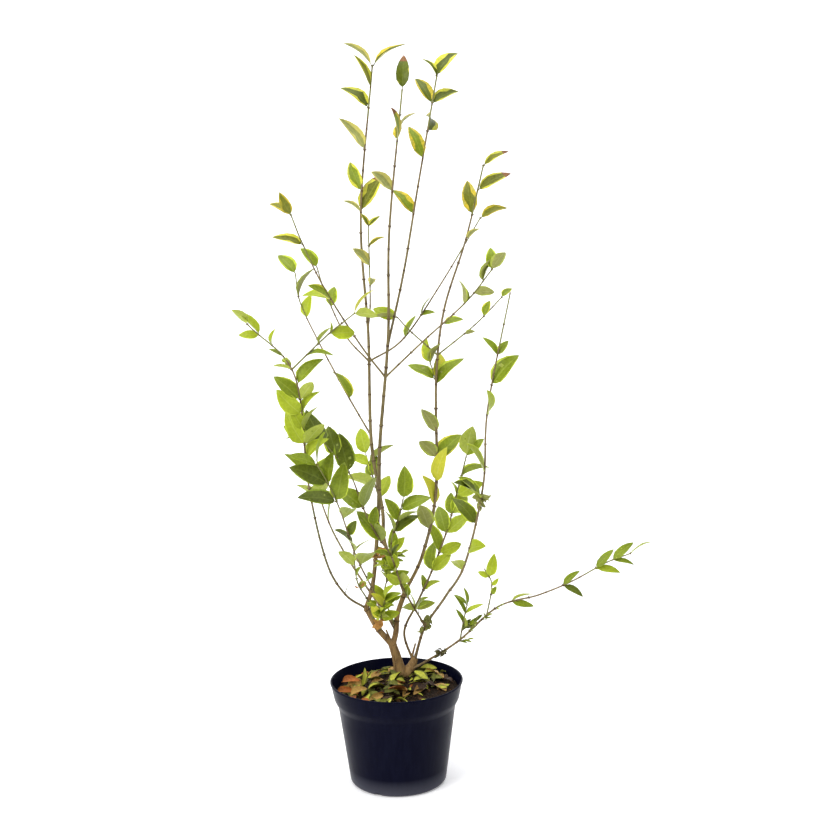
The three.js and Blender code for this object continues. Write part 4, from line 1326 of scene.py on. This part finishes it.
class PRIVET_OT_leaves(bpy.types.Operator):
    """Set every leaf on its node, edged with gold at the top and plain green below"""

    bl_idname = "privet.leaves"
    bl_label = "Leaves"

    def execute(self, context):
        sizes = context.scene.privet_leaves
        template = leaf_template()
        bm = bmesh.new()
        for shoot in [*LEAFY, *fine_twigs()]:
            for index, leaf in enumerate(shoot["blades"]):
                draw = seeded_random(seed_of(f"{shoot['name']} leaf {index}"))
                group_name = group_of(shoot, leaf)
                group = LEAF_GROUPS[group_name]
                tones = tones_for(shoot, group, draw)
                rusty = group_name == "gold" and draw() < RUSTY
                if (shoot["name"], index) == DARK_LEAF:
                    dark = LEAF_SLOTS.index("leaf_blade_dark")
                    tones, rusty = (dark, dark, *tones[2:]), True
                tint = LEAF_SLOTS.index("leaf_rusty") if rusty else None
                full = shoot["name"] in OPEN_SHOOTS
                if full or (leaf["up"].y > 0.1 and draw() < FACING):
                    leaf = dict(leaf, up=facing_front(leaf, full))
                add_leaf(
                    bm, template, leaf, draw, tones, width=sizes.width * group["width"],
                    fold=sizes.fold * (0.5 + draw()), stalk=0.35 if leaf["length"] < 22 else 0.6,
                    margin=group["margin"], droop=group["droop"], tint=tint,
                )
        bpy.data.meshes.remove(template)
        slots = [leaf_material(name, *tones) for name, tones in BLADE_TONES.items()]
        finish_piece(bm, "privet_leaves", slots, MASS_NODES)
        return {"FINISHED"}


# Dried heads and withered leaves: shoot, place along it, half their length along and across it, how many
# scraps, the scraps' length and their slot
DRIED = [
    ("right_outer", 0.5, 13, 4, 26, 9, 0), ("right_outer", 0.105, 11, 7, 34, 9, 0),
    ("low_right", 0.16, 6, 5, 20, 7, 1), ("tall_centre", 0.118, 6, 4, 4, 12, 2),
    ("inner_low", 0.35, 8, 6, 6, 12, 2), ("left_low", 0.6, 4, 3, 2, 11, 2),
]


def scattered(draw):
    return Vector((draw() - 0.5, draw() - 0.5, draw() - 0.5))


class PRIVET_OT_dried(bpy.types.Operator):
    """Hang the dried seed heads and the withered leaves on their shoots"""

    bl_idname = "privet.dried"
    bl_label = "Dried heads"

    def execute(self, context):
        template = leaf_template()
        bm = bmesh.new()
        for name, s, along, beside, count, size, slot in DRIED:
            path = GROWN[name]["path"]
            draw = seeded_random(seed_of(f"{name} dried {s}"))
            for _ in range(count):
                base = path.point(s) + path.tangent(s) * (2 * draw() - 1) * along + scattered(draw) * beside
                axis = (scattered(draw) - path.tangent(s) * along * 0.04).normalized()
                up = square_to(axis, scattered(draw))
                leaf = dict(base=base, axis=axis, up=up, length=size * (0.7 + 0.6 * draw()), arch=0.2 + 0.5 * draw())
                fold = 0.1 + 0.5 * draw()
                add_leaf(bm, template, leaf, draw, (slot,) * 4, width=0.7, fold=fold, stalk=0.35, droop=(0.2, 0.6))
        bpy.data.meshes.remove(template)
        slots = [
            leaf_material("dried_head_olive", "#a3a55c", "#6d7238", "#b9b87c", roughness=0.75, patchiness=0.9),
            leaf_material("dried_head_brown", "#66623a", "#3c3822", "#85805a", roughness=0.75, patchiness=0.9),
            leaf_material("withered_leaf_tan", "#bb8a48", "#8a5f30", "#d2ae74", roughness=0.65, patchiness=0.8),
        ]
        finish_piece(bm, "dried_heads", slots)
        return {"FINISHED"}


# The soft boxes: name, place, what each is aimed at, width, height, power in watts and colour
LIGHTS = [
    ("soft_box_top", (0, -0.3, 4), (0, 0, 0), 3.0, 3.0, 120, (1, 1, 1)),
    ("soft_box_left", (-2.5, -2.4, 2.3), (0, 0, 0.5), 1.8, 1.8, 100, (1, 0.99, 0.97)),
    ("soft_box_right", (2.8, -1.8, 1.9), (0, 0, 0.5), 1.4, 1.6, 16, (1, 1, 1)),
    ("wall_wash", (0, 1.4, 3.4), (0, 4.5, 1.2), 5, 0.8, 120, (1, 1, 1)),
]
# The camera: how far to the right and how high in metres, and how it is pitched and rolled in degrees
CAMERA_RIGHT = 0.0323
CAMERA_HEIGHT = 0.8671
CAMERA_PITCH = 9.46
CAMERA_ROLL = 1.1
# The sweep of paper: its half width, its front edge, where its bend begins, the bend's radius and its wall, in
# metres
SWEEP_WIDTH = 7
SWEEP_FRONT = -4
SWEEP_BEND = 3
SWEEP_RADIUS = 1.5
SWEEP_WALL = 4


def add_light(name, place, target, width, height, power, colour):
    data = bpy.data.lights.new(name, "AREA")
    data.shape, data.size, data.size_y, data.energy, data.color = "RECTANGLE", width, height, power, colour
    lamp = new_object(name, data)
    lamp.location = place
    lamp.rotation_euler = (Vector(target) - Vector(place)).to_track_quat("-Z", "Y").to_euler()


def paper_sweep():
    """A floor that bends up into a wall behind the plant."""
    bm = bmesh.new()
    front, back = ([bm.verts.new((x, y, 0)) for x in (-SWEEP_WIDTH, SWEEP_WIDTH)] for y in (SWEEP_FRONT, SWEEP_BEND))
    bm.faces.new((front[0], front[1], back[1], back[0]))
    bmesh.ops.spin(
        bm, geom=[*back, bm.edges.get(back)], cent=(0, SWEEP_BEND, SWEEP_RADIUS), axis=(1, 0, 0), angle=math.pi / 2,
        steps=16,
    )
    top = [e for e in bm.edges if all(v.co.y > SWEEP_BEND + SWEEP_RADIUS - 0.001 for v in e.verts)]
    risen = bmesh.ops.extrude_edge_only(bm, edges=top)["geom"]
    bmesh.ops.translate(bm, vec=(0, 0, SWEEP_WALL), verts=[g for g in risen if isinstance(g, bmesh.types.BMVert)])
    for face in bm.faces:
        face.smooth = True
    return bm


class PRIVET_OT_stage(bpy.types.Operator):
    """Lay the pale floor, set the soft light and stand the camera in front"""

    bl_idname = "privet.stage"
    bl_label = "Stage"

    def execute(self, context):
        scene, sizes = context.scene, context.scene.privet_stage
        sweep = new_object("studio_sweep", mesh_of(paper_sweep(), "studio_sweep", [floor_material(sizes.floor)]))
        world = bpy.data.worlds.new("soft_grey_room")
        scene.world = world
        world.use_nodes = True
        background = world.node_tree.nodes["Background"]
        background.inputs["Color"].default_value = linear("#f4f5fa")
        background.inputs["Strength"].default_value = 0.34
        for light in LIGHTS:
            add_light(*light)
        data = bpy.data.cameras.new("front_camera")
        data.lens, data.sensor_width, data.clip_start = sizes.lens, 36, 0.05
        camera = new_object("front_camera", data)
        pitch, roll = math.radians(90 - CAMERA_PITCH), math.radians(-CAMERA_ROLL)
        look = Matrix.Rotation(pitch, 4, "X") @ Matrix.Rotation(roll, 4, "Z")
        camera.matrix_world = Matrix.Translation((CAMERA_RIGHT, -sizes.distance, CAMERA_HEIGHT)) @ look
        scene.camera = camera
        scene.view_settings.view_transform = "Standard"
        return {"FINISHED"}


class PRIVET_PT_panel(bpy.types.Panel):
    """Lists the plant's pieces and their sizes"""

    bl_idname = "PRIVET_PT_panel"
    bl_label = "Potted privet"
    bl_space_type = "VIEW_3D"
    bl_region_type = "UI"
    bl_category = "Privet"

    def draw(self, context):
        for title, group, names, operators in PANEL_ROWS:
            box = self.layout.box()
            box.label(text=title)
            for name in names:
                box.prop(getattr(context.scene, group), name)
            for operator in operators:
                box.operator(operator)


PANEL_ROWS = [
    ("Pot", "privet_pot", ["height", "rim_radius", "segments"], ["privet.pot"]),
    ("Compost", "privet_compost", ["crumbs", "chips", "fallen"], ["privet.compost", "privet.litter"]),
    ("Limbs", "privet_limbs", ["relief", "ring"], ["privet.limbs", "privet.twigs"]),
    ("Leaves", "privet_leaves", ["width", "fold"], ["privet.leaves", "privet.dried"]),
    ("Stage", "privet_stage", ["distance", "lens", "floor"], ["privet.stage"]),
]
GROUPS = {
    "privet_pot": PRIVET_PG_pot, "privet_compost": PRIVET_PG_compost, "privet_limbs": PRIVET_PG_limbs,
    "privet_leaves": PRIVET_PG_leaves, "privet_stage": PRIVET_PG_stage,
}
CLASSES = [
    *GROUPS.values(), PRIVET_OT_pot, PRIVET_OT_compost, PRIVET_OT_litter, PRIVET_OT_limbs, PRIVET_OT_twigs,
    PRIVET_OT_leaves, PRIVET_OT_dried, PRIVET_OT_stage, PRIVET_PT_panel,
]


def register():
    for cls in CLASSES:
        bpy.utils.register_class(cls)
    for name, group in GROUPS.items():
        setattr(bpy.types.Scene, name, bpy.props.PointerProperty(type=group))


def unregister():
    for name in GROUPS:
        delattr(bpy.types.Scene, name)
    for cls in reversed(CLASSES):
        bpy.utils.unregister_class(cls)


def main():
    register()
    for _, _, _, operators in PANEL_ROWS:
        for operator in operators:
            group, name = operator.split(".")
            getattr(getattr(bpy.ops, group), name)()


if __name__ == "__main__":
    main()
